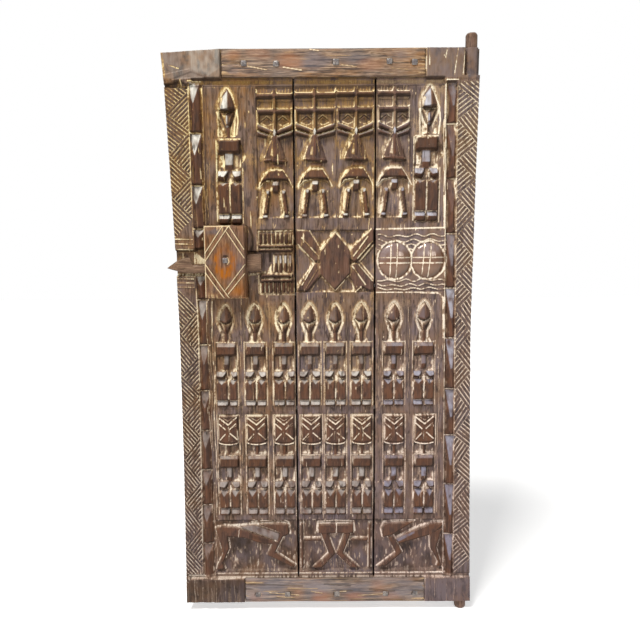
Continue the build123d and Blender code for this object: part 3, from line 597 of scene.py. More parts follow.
# A pointed hood of two facets that meet in an arris from the tip down
def hood(face, x, half, brow, tip, ridge, dip, peak, pale, glow):
    rise = tip - brow
    points = [(x - half * 0.95, brow), (x - half * 0.45, brow - dip * 0.75), (x, brow - dip),
              (x + half * 0.45, brow - dip * 0.75), (x + half * 0.95, brow), (x + half, brow + rise * 0.2),
              (x + half * 0.78, brow + rise * 0.55), (x + half * 0.34, tip - rise * 0.14), (x + 0.5, tip),
              (x - half * 0.34, tip - rise * 0.16), (x - half * 0.8, brow + rise * 0.52),
              (x - half, brow + rise * 0.2)]

    def facets(px, pz):
        across = np.where(px < ridge, (ridge - px) / (ridge - x + half), (px - ridge) / (x + half - ridge))
        taper = 1 - np.clip((pz - brow) / rise, 0, 1) ** 1.6
        return ground + 3 + (peak - 3) * np.clip(1 - across, 0, 1) * (0.35 + 0.65 * taper) + 2 * taper
    face.halo(points, 15, min(1.1, 1.2 * glow), 0.25)
    face.form(points, facets, 2.0, polish=0.8)
    # painted shadow in the line under the brim, painted shade on the right facet and painted light on the left facet
    face.groove(points[:5], 2.0, 1.8, 0.0, 1.0)
    face.groove([(ridge, brow - dip + 2), (ridge + 0.5, tip - 4)], 1.0, 0.5, 0.25)
    face.paint("sootAndShade", [(ridge + 1, brow), (x + half, brow + 3), (x + half * 0.7, brow + rise * 0.6),
            (ridge + 1, tip - 3)], 0.22, 3)
    face.paint("pale", [(x - half, brow + 2), (ridge, brow - 2), (ridge - 1, tip - 3),
            (x - half * 0.8, brow + rise * 0.5)], pale, 3)


# A plain wedge of a face under the hood: an incised rim, hollow cheeks and one long ridge for the nose
def visage(face, x, half, brow, chin, glow):
    wedge = [(x - 4, chin), (x + 4, chin), (x + half, brow), (x - half, brow)]
    face.form(wedge, ground + 5, 3, polish=0.6)
    face.paint("clay", [(x - half + 3, brow - 3), (x - 2.5, brow - 4), (x - 2, chin + 4), (x - 4, chin + 4)],
               0.95 * glow, 2)
    face.paint("clay", [(x + half - 4, brow - 4), (x + 4, brow - 4), (x + 3, chin + 8)], 0.4 * glow, 2)
    for side in (-1, 1):
        rim = [(x + side * (half + 0.5), brow), (x + side * (half * 0.62), chin + (brow - chin) * 0.42),
               (x + side * 4.5, chin + 1)]
        face.groove(rim, 1.8, 2.2, 0.0, 1.0)
        outer = [(px + side * 5, pz - 1) for px, pz in rim] + [(x + side * 9, chin - 16)]
        face.rub(outer, 6.2 if side < 0 else 4.8, min(1.0, (1.1 if side < 0 else 0.95) * glow))
    face.form([(x - 3, brow - 2), (x + 3, brow - 2), (x + 2.8, chin + 5), (x - 2.8, chin + 5)], ground + 10, 2.0,
              ground + 4)
    # painted shade on the nose's right flank and a painted shadow line under it
    face.paint("sootAndShade", box(x + 1, x + 3.5, brow - 2, chin + 4), 0.45, 1.5)
    face.groove([(x - 3.5, chin + 3), (x + 3.5, chin + 3)], 1.2, 1.2, 0.0, 0.8)


# Bar, torso, hips, knees, legs and feet; plan holds heights, from the bar down, and half widths
def figureBody(face, x, legX, plan, glow=1.0):
    half, gap = plan["half"], plan["gap"]
    neck, torso = plan["neck"], plan["torso"]
    top, edge, under, slope = plan["bar"]
    face.bar(x - neck, x + neck, under, plan["neckTop"], ground + 7, 2.0)
    face.rub([(x - neck - 5, top + 2), (x - neck - 4, plan["neckTop"] - 4)], 4.0, 0.8 * glow)
    face.rub([(x + neck + 4, top + 2), (x + neck + 4, plan["neckTop"] - 6)], 2.6, 0.5 * glow)
    face.strip(x - half, x + half, [(slope, 4), (under, 12), (edge, 12.5), (top, 3)])
    face.rub([(x - half, top), (x + half, top)], 2.4, 1.0)
    # painted shade on the bar's lower face, a painted shadow line under its edge and painted light on its top
    face.paint("sootAndShade", box(x - half, x + half, under, edge), plan.get("barShade", 0.22), 2)
    face.paint("clay", box(x - half, x + half - 2, edge, top), 0.22 * glow, 1.5)
    face.paint("pale", box(x - half, x + half - 2, edge, top - 1), plan["barPale"], 1.5)
    face.groove([(x - half, edge - 1), (x + half, edge - 1)], 1.1, 0.5, 0.0, 0.5)
    torsoEnd, torsoMid = plan["torsoLow"], plan["torsoMid"]
    face.strip(x - torso, x + torso, [(torsoEnd, 2), (torsoMid, 8), (slope + 4, 5)], 1.5)
    # painted light on the upper part of the torso
    face.paint("pale", box(x - torso, x + torso, torsoMid, slope), plan["torsoPale"], 1.5)
    face.rub([(x - torso - 4, torsoMid - 6), (x - torso - 4, slope - 4)], 3.0, 0.7 * glow)
    face.rub([(x + torso + 5, torsoMid - 2), (x + torso + 5, slope - 6)], 2.0, 0.35 * glow)
    hipTop, hipEdge, hipLow = plan["hips"]
    kneeTop, kneeEdge = plan["knees"]
    legLow, feetEdge, feetLow = plan["feet"]
    for side in (-1, 1):
        reach = half + 1 - side * (legX - x)

        def at(points):
            return [(legX + side * px, pz) for px, pz in points]

        mid = legX + side * (reach + 6) / 2
        wide = (reach - 4) / 2

        def hips(px, pz):
            away = np.clip(np.abs(px - mid) / wide, 0, 1)
            low, brow = hipLow + 4 * away ** 2, hipEdge + 5 * away ** 2
            return ground + np.where(pz > brow, 13 - 8 * (pz - brow) / (hipTop - brow + 0.1),
                                     3 + 10 * np.clip((pz - low) / (brow - low), 0, 1))
        tall = hipTop - hipLow
        face.form(at([(reach + 0.5, hipTop), (5, hipTop), (6, hipTop - tall * 0.3), (11, hipLow + tall * 0.2),
                      (15, hipLow), (20, hipLow + 1), (reach + 0.5, hipLow + tall * 0.25)]), hips)
        # painted light on the top of each hip and painted shade under it
        face.paint("pale", at([(reach, hipTop), (5, hipTop), (7, hipTop - tall * 0.32), (14, hipEdge - 1),
                (reach, hipEdge + 2)]), plan["hipPale"], 1.5)
        face.paint("sootAndShade", at([(5, hipEdge), (14, hipEdge - 2), (reach, hipEdge), (reach, hipLow - 1),
                (8, hipLow - 1)]), 0.55, 2)
        face.rub(at([(reach, hipTop + 1), (6, hipTop + 1)]), 1.5, 0.7 * glow)

        def shin(px, pz):
            brow = kneeEdge + (kneeTop - kneeEdge) * 0.75 * np.clip(np.abs(px - mid) / wide, 0, 1)
            return ground + np.where(pz > brow, 12 - 8 * (pz - brow) / (kneeTop - brow + 0.1),
                                     12 - 1.5 * np.clip((brow - pz) / (brow - legLow), 0, 1))
        long = kneeTop - legLow
        face.form(at([(reach, legLow), (reach + 0.5, kneeTop - 1), (gap, kneeTop),
                      (gap + 0.4, kneeTop - long * 0.2), (gap + plan["spindle"], kneeTop - long * 0.5),
                      (gap + plan["spindle"] * 0.6, kneeTop - long * 0.8), (gap, legLow)]), shin, 1.3)
        # painted light on the knee tops
        face.paint("pale", at([(reach, kneeTop), (gap + 2, kneeTop), ((reach + gap) / 2 + 1, kneeEdge - 1)]),
                   plan["kneePale"], 1.5)
        face.strip(min(legX + side * 1.2, legX + side * reach), max(legX + side * 1.2, legX + side * reach),
                   [(feetLow, 4), (feetLow + 3, 11), (feetEdge, 12.5), (legLow, 4)], 2.5)
        # painted light on the tops of the feet and painted shade under them
        face.paint("pale", at(box(1.5, reach, feetEdge, legLow + 1)), plan["feetPale"], 1.5)
        face.paint("sootAndShade", at(box(1, reach, feetLow - 2, feetEdge - 1.5)), 0.6, 1.5)
        face.rub(at([(2, legLow + 0.5), (reach, legLow + 0.5)]), 1.5, 0.8)
    face.bar(legX - gap - 1.5, legX + gap + 1.5, legLow + 2, kneeTop - 2, ground + 8, 1.0, polish=0.0)
    face.rub([(legX, hipLow + 8), (legX, kneeTop - 2), (legX - 0.5, legLow - 4)], 2.3, 1.0)
    for side in (-1, 1):
        face.rub([(legX, kneeTop - 3), (legX + side * 9, kneeTop + 4)], 1.4, 0.8 * glow)
    face.rub([(legX, kneeTop - (kneeTop - legLow) * 0.3), (legX, kneeTop - (kneeTop - legLow) * 0.72)],
             gap + plan["spindle"] * 0.8, 0.95)


hooded = {"niche": (540, 712), "brow": 766, "tip": 807, "chin": 732, "half": 25.5, "gap": 1.4, "spindle": 2.0,
          "neck": 4.8, "torso": 6.8, "neckTop": 744, "bar": (710, 699, 680, 675), "torsoLow": 637, "torsoMid": 652,
          "hips": (634, 621, 613), "knees": (612, 600), "feet": (557, 545, 540), "barPale": 0.5, "torsoPale": 0.45,
          "hipPale": 1.0, "kneePale": 0.85, "feetPale": 0.95}
shielded = {"niche": (243, 412), "shield": (435.5, 518.0, 26.0), "glow": 0.9, "half": 25.5, "gap": 1.2,
            "spindle": 1.2, "neck": 5.0, "torso": 7.5, "neckTop": 438, "bar": (409, 400, 380, 375), "torsoLow": 336,
            "torsoMid": 350, "hips": (337, 323, 316), "knees": (314, 297), "feet": (264, 250, 244), "barPale": 0.5,
            "torsoPale": 0.9, "hipPale": 0.75, "kneePale": 0.75, "feetPale": 0.8}


# A figure in an upright niche under a pointed hood
def hoodedFigure(face, x, lift, glow, legShift):
    plan = hooded
    face.cutBar(x - 28.5, x + 28.5, *plan["niche"], ground, 3.5)
    face.cut([(x - 27, 700), (x + 27, 700), (x + 20, 730), (x + 18, 745), (x + 25, 775), (x + 19, 801), (x + 8, 818),
              (x - 2, 822), (x - 15, 808), (x - 25, 785), (x - 24, 765), (x - 17, 742), (x - 21, 728)], ground + 1, 8)
    for side in (-1, 1):
        face.rub([(x + side * 29.5, plan["niche"][0] + 4), (x + side * 29, plan["niche"][1])], 2.0, 0.7)
    hood(face, x, 16.5, plan["brow"] + lift, plan["tip"] + lift, x + 2, 7, 13, 0.16, glow)
    visage(face, x, 14.5, plan["brow"] - 5 + lift, plan["chin"] + lift, glow)
    figureBody(face, x, x + legShift, plan, glow)


# The same body under a broad shield with crossing lines; variant picks the middle ones
def shieldFigure(face, x, variant):
    plan = shielded
    low, high, half = plan["shield"]
    face.cutBar(x - 28.5, x + 28.5, *plan["niche"], ground, 3.5)
    face.cut([(x - 28.5, 410), (x + 28.5, 410), (x + 29, 521), (x - 29, 521)], ground, 3.0)
    for side in (-1, 1):
        face.rub([(x + side * 29.5, plan["niche"][0] + 4), (x + side * 29.5, high)], 2.0, 0.75)
    shield = [(x - half, low + 4), (x - half / 2, low + 1), (x, low), (x + half / 2, low + 1), (x + half, low + 4),
              (x + half, high), (x - half, high)]
    figureBody(face, x, x + 1, plan, plan["glow"])
    face.form(shield, ground + 12, 2.0)
    sag = [(-half + 1, 12), (-half / 2, 8.6), (0, 7.5), (half / 2, 8.6), (half - 1, 12)]
    face.groove([(x + px, low + pz + 1) for px, pz in sag], 1.9, 2.2, 0.0, 1.0)
    face.rub([(x + px, low + pz - 3.2) for px, pz in sag], 2.3, 1.0)
    face.stroke("pale", [(x + px, low + pz - 4.6) for px, pz in sag], 3.0, 0.8)
    face.rub([(x - half, high), (x + half, high)], 2.8, 1.0)

    def line(points, half, clay=1.0):
        face.groove([(x + px, high + pz) for px, pz in points], half * 1.1, 2.0, clay)
        # a painted shadow line just below each clay line
        face.groove([(x + px, high + pz - half * 1.8) for px, pz in points], 1.3, 0.8, 0.0, 0.8)
    line([(-23, -7), (0, -25), (22, -5)], 2.7)
    line([(-14, -6), (0, -15), (14, -5)], 1.5, 0.75)
    line([(-14, -5.5), (14, -5)], 1.0, 0.4)
    line([(-23, -23), (-7, -38)], 2.5)
    line([(4, -37), (20, -22)], 2.2)
    line([(9, -34), (22, -27)], 1.3, 0.6)
    line([(-22, -66), (-8, -50)], 2.3, 0.95)
    line([(5, -48), (23, -64)], 2.5)
    if variant % 3 == 0:
        line([(0, -30), (3, -48), (1, -68)], 1.7, 0.85)
    elif variant % 3 == 1:
        line([(-16, -68), (-7, -57)], 1.2, 0.6)
    else:
        line([(-2, -44), (-3, -66)], 1.4, 0.7)
        line([(4, -58), (5, -70)], 1.2, 0.5)


largePlan = {"half": 28.0, "gap": 1.4, "spindle": 0.2, "neck": 5.5, "torso": 11.0, "neckTop": 1252,
             "bar": (1222, 1217, 1193, 1187), "barShade": 0.42, "torsoLow": 1143, "torsoMid": 1158,
             "hips": (1145, 1129, 1117), "knees": (1116, 1107), "feet": (1037, 1025, 1012), "barPale": 0.1,
             "torsoPale": 0.6, "hipPale": 1.0, "kneePale": 0.6, "feetPale": 1.0}


# The tall figure of the top row, in a pointed sunk oval
def largeFigure(face, x, headX, lift):
    plan = {key: tuple(v + lift for v in value) if isinstance(value, tuple) else value
            for key, value in largePlan.items()}
    for key in ("neckTop", "torsoLow", "torsoMid"):
        plan[key] = largePlan[key] + lift
    face.cutBar(x - 33, x + 33, 1008 + lift, 1221 + lift, ground, 4)
    face.cut([(x + 26, 1215 + lift), (x + 34, 1215 + lift), (x + 46, 1180 + lift), (x + 30, 1150 + lift)],
             ground - 2, 6)
    oval = [(headX - 25, 1222 + lift), (headX + 24, 1222 + lift), (headX + 27, 1262), (headX + 26, 1293),
            (headX + 15, 1325), (headX + 2, 1349), (headX - 10, 1338), (headX - 24, 1308), (headX - 27, 1275)]
    face.cut(oval, ground - 1, 9)
    face.rub([(headX - 22, 1230), (headX - 23, 1262), (headX - 21, 1292), (headX - 13, 1318)], 6.0, 0.65)
    face.rub([(headX + 23, 1232), (headX + 27, 1266), (headX + 24, 1298), (headX + 12, 1328), (headX + 4, 1343)],
             2.8, 0.95)
    face.paint("clay", [(headX - 24, 1224 + lift), (headX - 7, 1224 + lift), (headX - 7, 1248 + lift),
            (headX - 20, 1256 + lift)], 0.8, 5)
    face.rub([(x - 32, 1020), (x - 31, 1220 + lift)], 2.4, 0.95)
    face.rub([(x + 33, 1015), (x + 34, 1150)], 2.0, 0.7)
    hood(face, headX, 20, 1292 + lift, 1343 + lift, headX + 4, 2, 14, 1.0, 0.6)
    visage(face, headX, 18, 1287 + lift, 1247 + lift, 0.75)
    face.paint("clay", [(headX + 6, 1229), (headX + 20, 1229), (headX + 21, 1270), (headX + 12, 1262)], 0.3, 3)
    # painted shadow under the hood's brim and painted highlight down the nose
    face.paint("sootAndShade", [(headX - 16, 1290 + lift), (headX + 16, 1290 + lift), (headX + 9, 1278 + lift),
            (headX - 9, 1278 + lift)], 0.8, 2)
    face.paint("pale", [(headX - 4, 1278 + lift), (headX + 2, 1278 + lift), (headX + 2, 1257 + lift),
            (headX - 5, 1257 + lift)], 0.8, 1.5)
    face.paint("pale", [(headX - 5, 1254 + lift), (headX + 4, 1254 + lift), (headX + 2, 1249 + lift),
            (headX - 3, 1249 + lift)], 0.8, 1)
    figureBody(face, x, x + 1, plan)
    face.paint("clay", box(x - 27, x - 13, 1152 + lift, 1184 + lift), 0.9, 4)
    face.paint("clay", box(x + 14, x + 25, 1152 + lift, 1184 + lift), 0.6, 4)
    face.paint("sootAndShade", box(x - 27, x + 28, 1040 + lift, 1106 + lift), 0.3, 3)
    face.rub([(x + 1, 1110 + lift), (x + 0.5, 1040 + lift)], 1.6, 0.9)


# A dancer under a tall cross-barred mask. leftReach and rightReach: how far the bars run each way. posts: which
# sides carry an upright finial
def maskedDancer(face, x, leftReach, rightReach, posts, lift=0.0):
    def at(points, side=1):
        return [(x + side * px, pz + lift) for px, pz in points]

    face.cutBar(x - leftReach - 4, x + rightReach + 4, 1024, 1350, ground + 1.5, 5)
    face.cut(at(box(-leftReach, rightReach, 1232, 1318)), ground - 1, 5)
    face.paint("calm", at(box(-leftReach - 2, rightReach + 2, 1222, 1346)), 0.95, 3)
    face.paint("clay", at(box(-leftReach, rightReach, 1240, 1320)), 0.27, 3)
    for a, b in ((-leftReach + 4, -6), (6, rightReach - 4)):
        face.rub(at([(a, 1297), (b, 1297)]), 4.0, 0.5)
    for low, high, reach in ((1321, 1331, 1.0), (1283, 1294, 0.97)):
        left, right = -leftReach * reach, rightReach * reach
        face.paint("clay", at(box(left, right, low - 1, high)), 0.08, 1.5)
        face.strip(x + left, x + right, [(low + lift, 6), (low + 2 + lift, 11), (high - 4 + lift, 11),
                (high + lift, 4)], 1.5, 0.7)
        for a, b in ((left, -5), (5, right)):
            face.rub(at([(a, high + 3), (a + 4, high), (b - 4, high), (b, high + 3)]), 2.0, 1.0)
        # dark grooves under each bar: painted shadow lines
        face.groove(at([(left, low - 1.5), (right, low - 1.5)]), 2.2, 1.2, 0.0, 0.9)
        face.groove(at([(left + 4, low - 9), (-6, low - 9)]), 1.2, 0.8, 0.0, 0.6)
        face.groove(at([(7, low - 9), (right - 3, low - 9)]), 1.2, 0.8, 0.0, 0.6)
    for side, reach in ((-1, leftReach), (1, rightReach)):
        if posts[0 if side < 0 else 1]:
            face.form(at([(reach, 1325), (reach - 5, 1325), (reach - 1, 1342), (reach + 1, 1342)], side), ground + 10)
            face.rub(at([(reach - 4, 1330), (reach, 1341)], side), 2.4, 0.9)
        outer = reach * 0.97
        face.form(at([(outer, 1250), (outer - 5, 1252), (outer - 5, 1288), (outer, 1288)], side), ground + 10, 1.5,
                  polish=0.6)
        face.rub(at([(outer - side, 1246), (outer - side, 1290)], side), 2.4, 0.85)
        for low, high, inner in ((1245, 1258, (1231, 1242)), (1230, 1241, (1220, 1228))):
            arm = at([(5, inner[0]), (outer, low), (outer, high), (5, inner[1])], side)
            face.form(arm, ground + 11, 2.0, polish=0.75)
            face.paint("clay", arm, 0.08, 1.5)
            # painted light on each arm's top and a painted shadow line under it
            face.paint("pale", at([(6, inner[1] - 4), (outer, high - 5), (outer, high), (6, inner[1])], side), 0.35,
                       1.5)
            face.groove(at([(6, inner[0] - 0.5), (outer, low - 0.5)], side), 1.3, 0.8, 0.0, 0.75)
            face.rub(at([(6, inner[1] + 1), (outer, high + 1)], side), 2.6, 1.0)
        face.form(at([(8, 1263), (20, 1274), (33, 1262), (20, 1267)], side), ground + 7, 1.8, polish=0.7)
        face.rub(at([(9, 1259), (20, 1254), (34, 1260)], side), 2.6, 0.75)
        face.rub(at([(9, 1270), (20, 1279), (32, 1270)], side), 1.8, 0.6)
        face.stroke("sootAndShade", at([(8, 1266), (20, 1274), (34, 1265)], side), 2.2, 0.8)
    face.form(at(box(-4, 4, 1228, 1340)), ground + 12, 1.5, polish=0.7)
    face.rub(at([(-4.5, 1246), (-4.5, 1280)]), 1.9, 0.9)
    face.rub(at([(-4.5, 1296), (-4.5, 1318)]), 1.6, 0.8)
    face.rub(at([(-6, 1332), (-3, 1341)]), 1.8, 0.8)
    face.rub(at([(6, 1332), (4, 1338)]), 1.4, 0.6)
    # painted shade on the post's right side
    face.paint("sootAndShade", at(box(1.5, 4.5, 1232, 1318)), 0.35, 1.2)
    for i in range(12):
        tick = (i / 11 - 0.5) * (leftReach + rightReach) * 0.94 + (rightReach - leftReach) / 2
        face.rub(at([(tick, 1333), (tick + 0.6, 1338 + 6 * math.sin(i * 2.3) ** 2)]), 1.2, 0.55)

    # the long face: two facets that meet along a raised nose
    def ridged(px, pz):
        return ground + 4 + 7 * np.clip(1 - np.abs(px - x) / 26, 0, 1)
    face.rub(at([(-36, 1172), (-23, 1204), (-10, 1234)]), 8.0, 0.5)
    face.form(at([(-30, 1170), (30, 1170), (3, 1240), (-3, 1240)]), ridged, 2.0, polish=0.6)
    face.paint("clay", at([(-14, 1180), (-3, 1176), (-3, 1226), (-6, 1220)]), 0.62, 3)
    face.rub(at([(-30, 1171), (-4, 1236)]), 1.7, 0.85)
    face.groove(at([(13, 1176), (4, 1216)]), 1.2, 1.0, 0.5, 0.2)
    # painted shade on the right facet of the face
    face.paint("sootAndShade", at([(5, 1172), (29, 1172), (5, 1228)]), 0.28, 3)
    face.form(at([(-3.5, 1176), (4, 1176), (3, 1240), (-3, 1240)]), ground + 13, 1.5)
    face.form(at([(-6, 1235), (0, 1222), (6, 1235), (0, 1248)]), ground + 13, 2.0)
    # painted light on the top boss
    face.paint("pale", at([(-6, 1236), (0, 1224), (4, 1236), (0, 1247)]), 0.95, 1.5)
    face.form(at([(-30, 1165), (-8, 1166), (-8, 1173), (-29, 1172)]), ground + 9, 1.5, polish=1)
    face.form(at([(-9, 1164), (30, 1162), (29, 1171), (-9, 1173)]), ground + 10, 1.5, polish=1)
    # painted shadow under the chin bars
    face.paint("sootAndShade", at([(-29, 1165), (29, 1163), (29, 1169), (-29, 1170)]), 0.5, 1.5)
    face.form(at([(-15, 1149), (17, 1149), (22, 1163), (-9, 1163)]), ground + 4, 3, polish=0.7)
    # the dancer's bent arms as one arch
    arch = at([(-43, 1103), (-34, 1125), (-20, 1143), (-10, 1147), (18, 1146), (31, 1126), (43, 1103), (29, 1119),
               (15, 1121), (-15, 1121), (-29, 1119)])
    face.halo(arch, 12, 0.8, 0.6)
    face.form(arch, ground + 11.5, 2.6, polish=0.9)
    face.rub(at([(-43, 1103), (-34, 1126), (-20, 1144), (-10, 1148), (18, 1147)]), 2.3, 1.0)
    face.rub(at([(18, 1147), (32, 1126), (43, 1104)]), 1.7, 0.95)
    # a painted shadow line under the arch
    face.groove(at([(-39, 1104), (-27, 1115), (-15, 1119), (15, 1119), (27, 1115), (39, 1104)]), 1.6, 1.0, 0.0, 0.85)
    face.strip(x - 9, x + 9, [(1089 + lift, 4), (1094 + lift, 9), (1107 + lift, 11), (1121 + lift, 5)])
    # painted light on top of the waist and painted shade under it
    face.paint("pale", at(box(-8.5, 8.5, 1107, 1118)), 0.95, 1.5)
    face.paint("sootAndShade", at(box(-9, 9, 1092, 1104)), 0.4, 2)
    for side in (-1, 1):
        if side < 0:
            face.rub(at([(-31, 1098), (-38, 1062), (-40, 1036)]), 5.0, 0.6)
        else:
            face.rub(at([(8, 1090), (15, 1036)]), 3.6, 0.6)
        face.form(at([(12, 1096), (25, 1096), (33, 1034), (21, 1034)], side), ground + 11, 2.4)
        face.rub(at([(side * 26 if side < 0 else 12, 1094), (side * 34 if side < 0 else 20, 1036)]), 1.5, 0.9)
        face.groove(at([(18, 1080), (24, 1040)], side), 1.0, 0.6, 0.45)
        # painted light on the arm and foot tops and painted shade under the feet
        face.paint("pale", at([(15, 1097), (25, 1097), (24, 1088), (17, 1086)], side), 0.95, 1.5)
        face.form(at([(19, 1024), (35, 1025), (34, 1035), (20, 1035)], side), ground + 11, 2)
        face.paint("pale", at([(20, 1028), (34, 1029), (33, 1035), (21, 1035)], side), 0.95, 1.2)
        face.paint("sootAndShade", at([(19, 1022), (35, 1023), (35, 1027), (19, 1027)], side), 0.7, 1.5)


combPlan = {"left": -533.0, "right": -447.0, "low": 830, "high": 1000, "teeth": 8, "gap": 1.5,
            "bars": ((953, 961, 0), (943, 951, 1), (878, 888, 4), (866, 875, 4)),
            "rows": ((0, 962, 990), (3, 838, 865)), "middleLeft": -496.0, "middleTeeth": 4}


# Four bars with a row of teeth above, one below and a short one in the middle
def comb(face, plan):
    left, right, gap = plan["left"], plan["right"], plan["gap"]
    face.cutBar(left - 4, right + 6, plan["low"], plan["high"], ground + 1, 4)
    for low, high, shift in plan["bars"]:
        start = left + shift
        face.bar(start, right, low, high, ground + 11, 2, polish=0.7)
        face.rub([(start, high), (right, high)], 1.5, 0.9)
        # a painted shadow line under each bar
        face.groove([(start, low - 1), (right, low - 1)], 1.1, 0.8, 0.0, 0.8)
    pitch = (right - left) / plan["teeth"]
    for i in range(plan["teeth"]):
        start = left + i * pitch + gap
        end = start + pitch - 2 * gap
        for shift, low, high in plan["rows"]:
            face.bar(start + shift, end + shift, low, high, ground + 9, 2)
            face.paint("sootAndShade", box(start + shift, start + shift + 4.5, low, high), 0.55, 1.5)
    for i in range(plan["teeth"] + 1):
        at = left + i * pitch
        face.rub([(at, 963), (at, 992)], 1.7, 1.0)
        face.rub([(at + 3, 838), (at + 3, 864)], 1.7, 0.95)
    face.rub([(left, 994), (right, 996)], 2.6, 1.0)
    face.rub([(left + 3, 835), (right + 4, 834)], 1.8, 0.8)
    face.rub([(left - 3, 945), (left - 3, 992)], 3.0, 0.7)
    face.rub([(left - 1, 838), (left - 1, 886)], 3.0, 0.7)
    pitch = (right - plan["middleLeft"]) / plan["middleTeeth"]
    for i in range(plan["middleTeeth"]):
        start = plan["middleLeft"] + i * pitch
        face.strip(start + 2, start + pitch - 2, [(890, 4), (911, 11), (936, 4)], 2)
        # painted light on the middle teeth's tops
        face.paint("pale", box(start + 2, start + pitch - 3, 913, 933), 0.7, 1.2)
        face.rub([(start, 892), (start, 934)], 1.8, 0.95)
    face.paint("sootAndShade", box(-509, -500, 915, 943), 1.0, 2)
    face.paint("clay", [(-520, 886), (-499, 886), (-499, 914), (-504, 912)], 0.9, 3)


# A six-cornered boss between four slanting bars; sideways offsets are from its own middle line
def crossedLozenge(face):
    x, low, mid, high = middleLine, 838.0, 917.0, 997.0
    face.cutBar(-442, -236, low - 2, high + 2, ground + 1, 5)

    def at(points):
        return [(x + px, pz) for px, pz in points]
    lozenge = at([(0, low + 4), (38, mid - 33), (40, mid), (39, mid + 29), (0, high - 4), (-39, mid + 29),
                  (-40, mid), (-38, mid - 33)])
    arms = [[(36, 925), (40, 951), (92, 1000), (99, 1000), (99, 966), (62, 924), (50, 914)],
            [(36, 882), (36, 908), (50, 915), (61, 912), (99, 866), (99, 842), (88, 842), (70, 852), (66, 845),
             (54, 840)],
            [(-36, 920), (-38, 951), (-64, 996), (-99, 996), (-99, 962), (-91, 957), (-52, 916)],
            [(-36, 882), (-36, 912), (-52, 917), (-61, 905), (-97, 852), (-97, 842), (-70, 842)]]
    for arm in arms:
        face.form(at(arm), ground + 9, 2.0, polish=0.75)
    lines = [((47, 931), (83, 980), 2.0, 1.0), ((57, 925), (95, 968), 1.5, 0.9), ((63, 918), (99, 957), 1.3, 0.7),
             ((44, 905), (77, 858), 2.5, 1.0), ((59, 911), (95, 868), 2.0, 1.0),
             ((-85, 978), (-42, 931), 2.3, 1.0), ((-94, 961), (-55, 919), 1.8, 0.95),
             ((-55, 909), (-85, 858), 2.1, 1.0), ((-44, 900), (-74, 852), 1.2, 0.5)]
    for a, b, half, clay in lines:
        face.groove(at([a, b]), half + 0.7, 2.0, clay)
        # the second groove just below each line: a painted shadow line
        face.groove(at([(a[0] + 1, a[1] - 4.2), (b[0] + 1, b[1] - 4.2)]), 1.6, 1.4, 0.0, 0.9)
    rubs = [([(42, 953), (92, 999)], 2.3, 1.0), ([(-99, 997), (-64, 995), (-38, 951)], 2.3, 1.0),
            ([(-92, 955), (-53, 917), (-90, 866)], 2.2, 0.95), ([(99, 960), (63, 917), (99, 874)], 2.4, 0.9),
            ([(52, 839), (66, 853), (72, 843)], 2.6, 0.8), ([(-62, 841), (-38, 884)], 1.6, 0.6)]
    for line, half, amount in rubs:
        face.rub(at(line), half, amount)
    face.halo(lozenge, 10, 0.75, 0.5)
    face.form(lozenge, ground + 12, 2.5, polish=0.75)
    face.paint("sootAndShade", at([(-26, low + 24), (24, low + 24), (30, mid + 20), (0, high - 14), (-30, mid + 20)]), 0.16,
               10)
    face.paint("clay", lozenge, 0.0, 2)
    face.rub([lozenge[5], lozenge[4], lozenge[3]], 3.2, 1.0)
    face.rub([lozenge[5], lozenge[6], lozenge[7]], 1.2, 0.4)
    face.rub([lozenge[7], lozenge[0], lozenge[1]], 1.9, 0.8)


domePlan = {"left": -234.0, "right": -62.0, "low": 838.0, "high": 997.0, "level": 15.0, "middle": 919.0,
            "centres": ((-187.0, 0.0), (-102.0, 4.0)), "halfWide": 41.5, "halfHigh": 45.5, "rise": 15.0, "rim": 3.0,
            "waves": ((982, 3.6, 0), (969, 3.8, 6), (957, 3.6, 12), (946, 3.4, 18), (869, 3.8, 24), (857, 3.4, 14),
                      (847, 2.4, 6))}


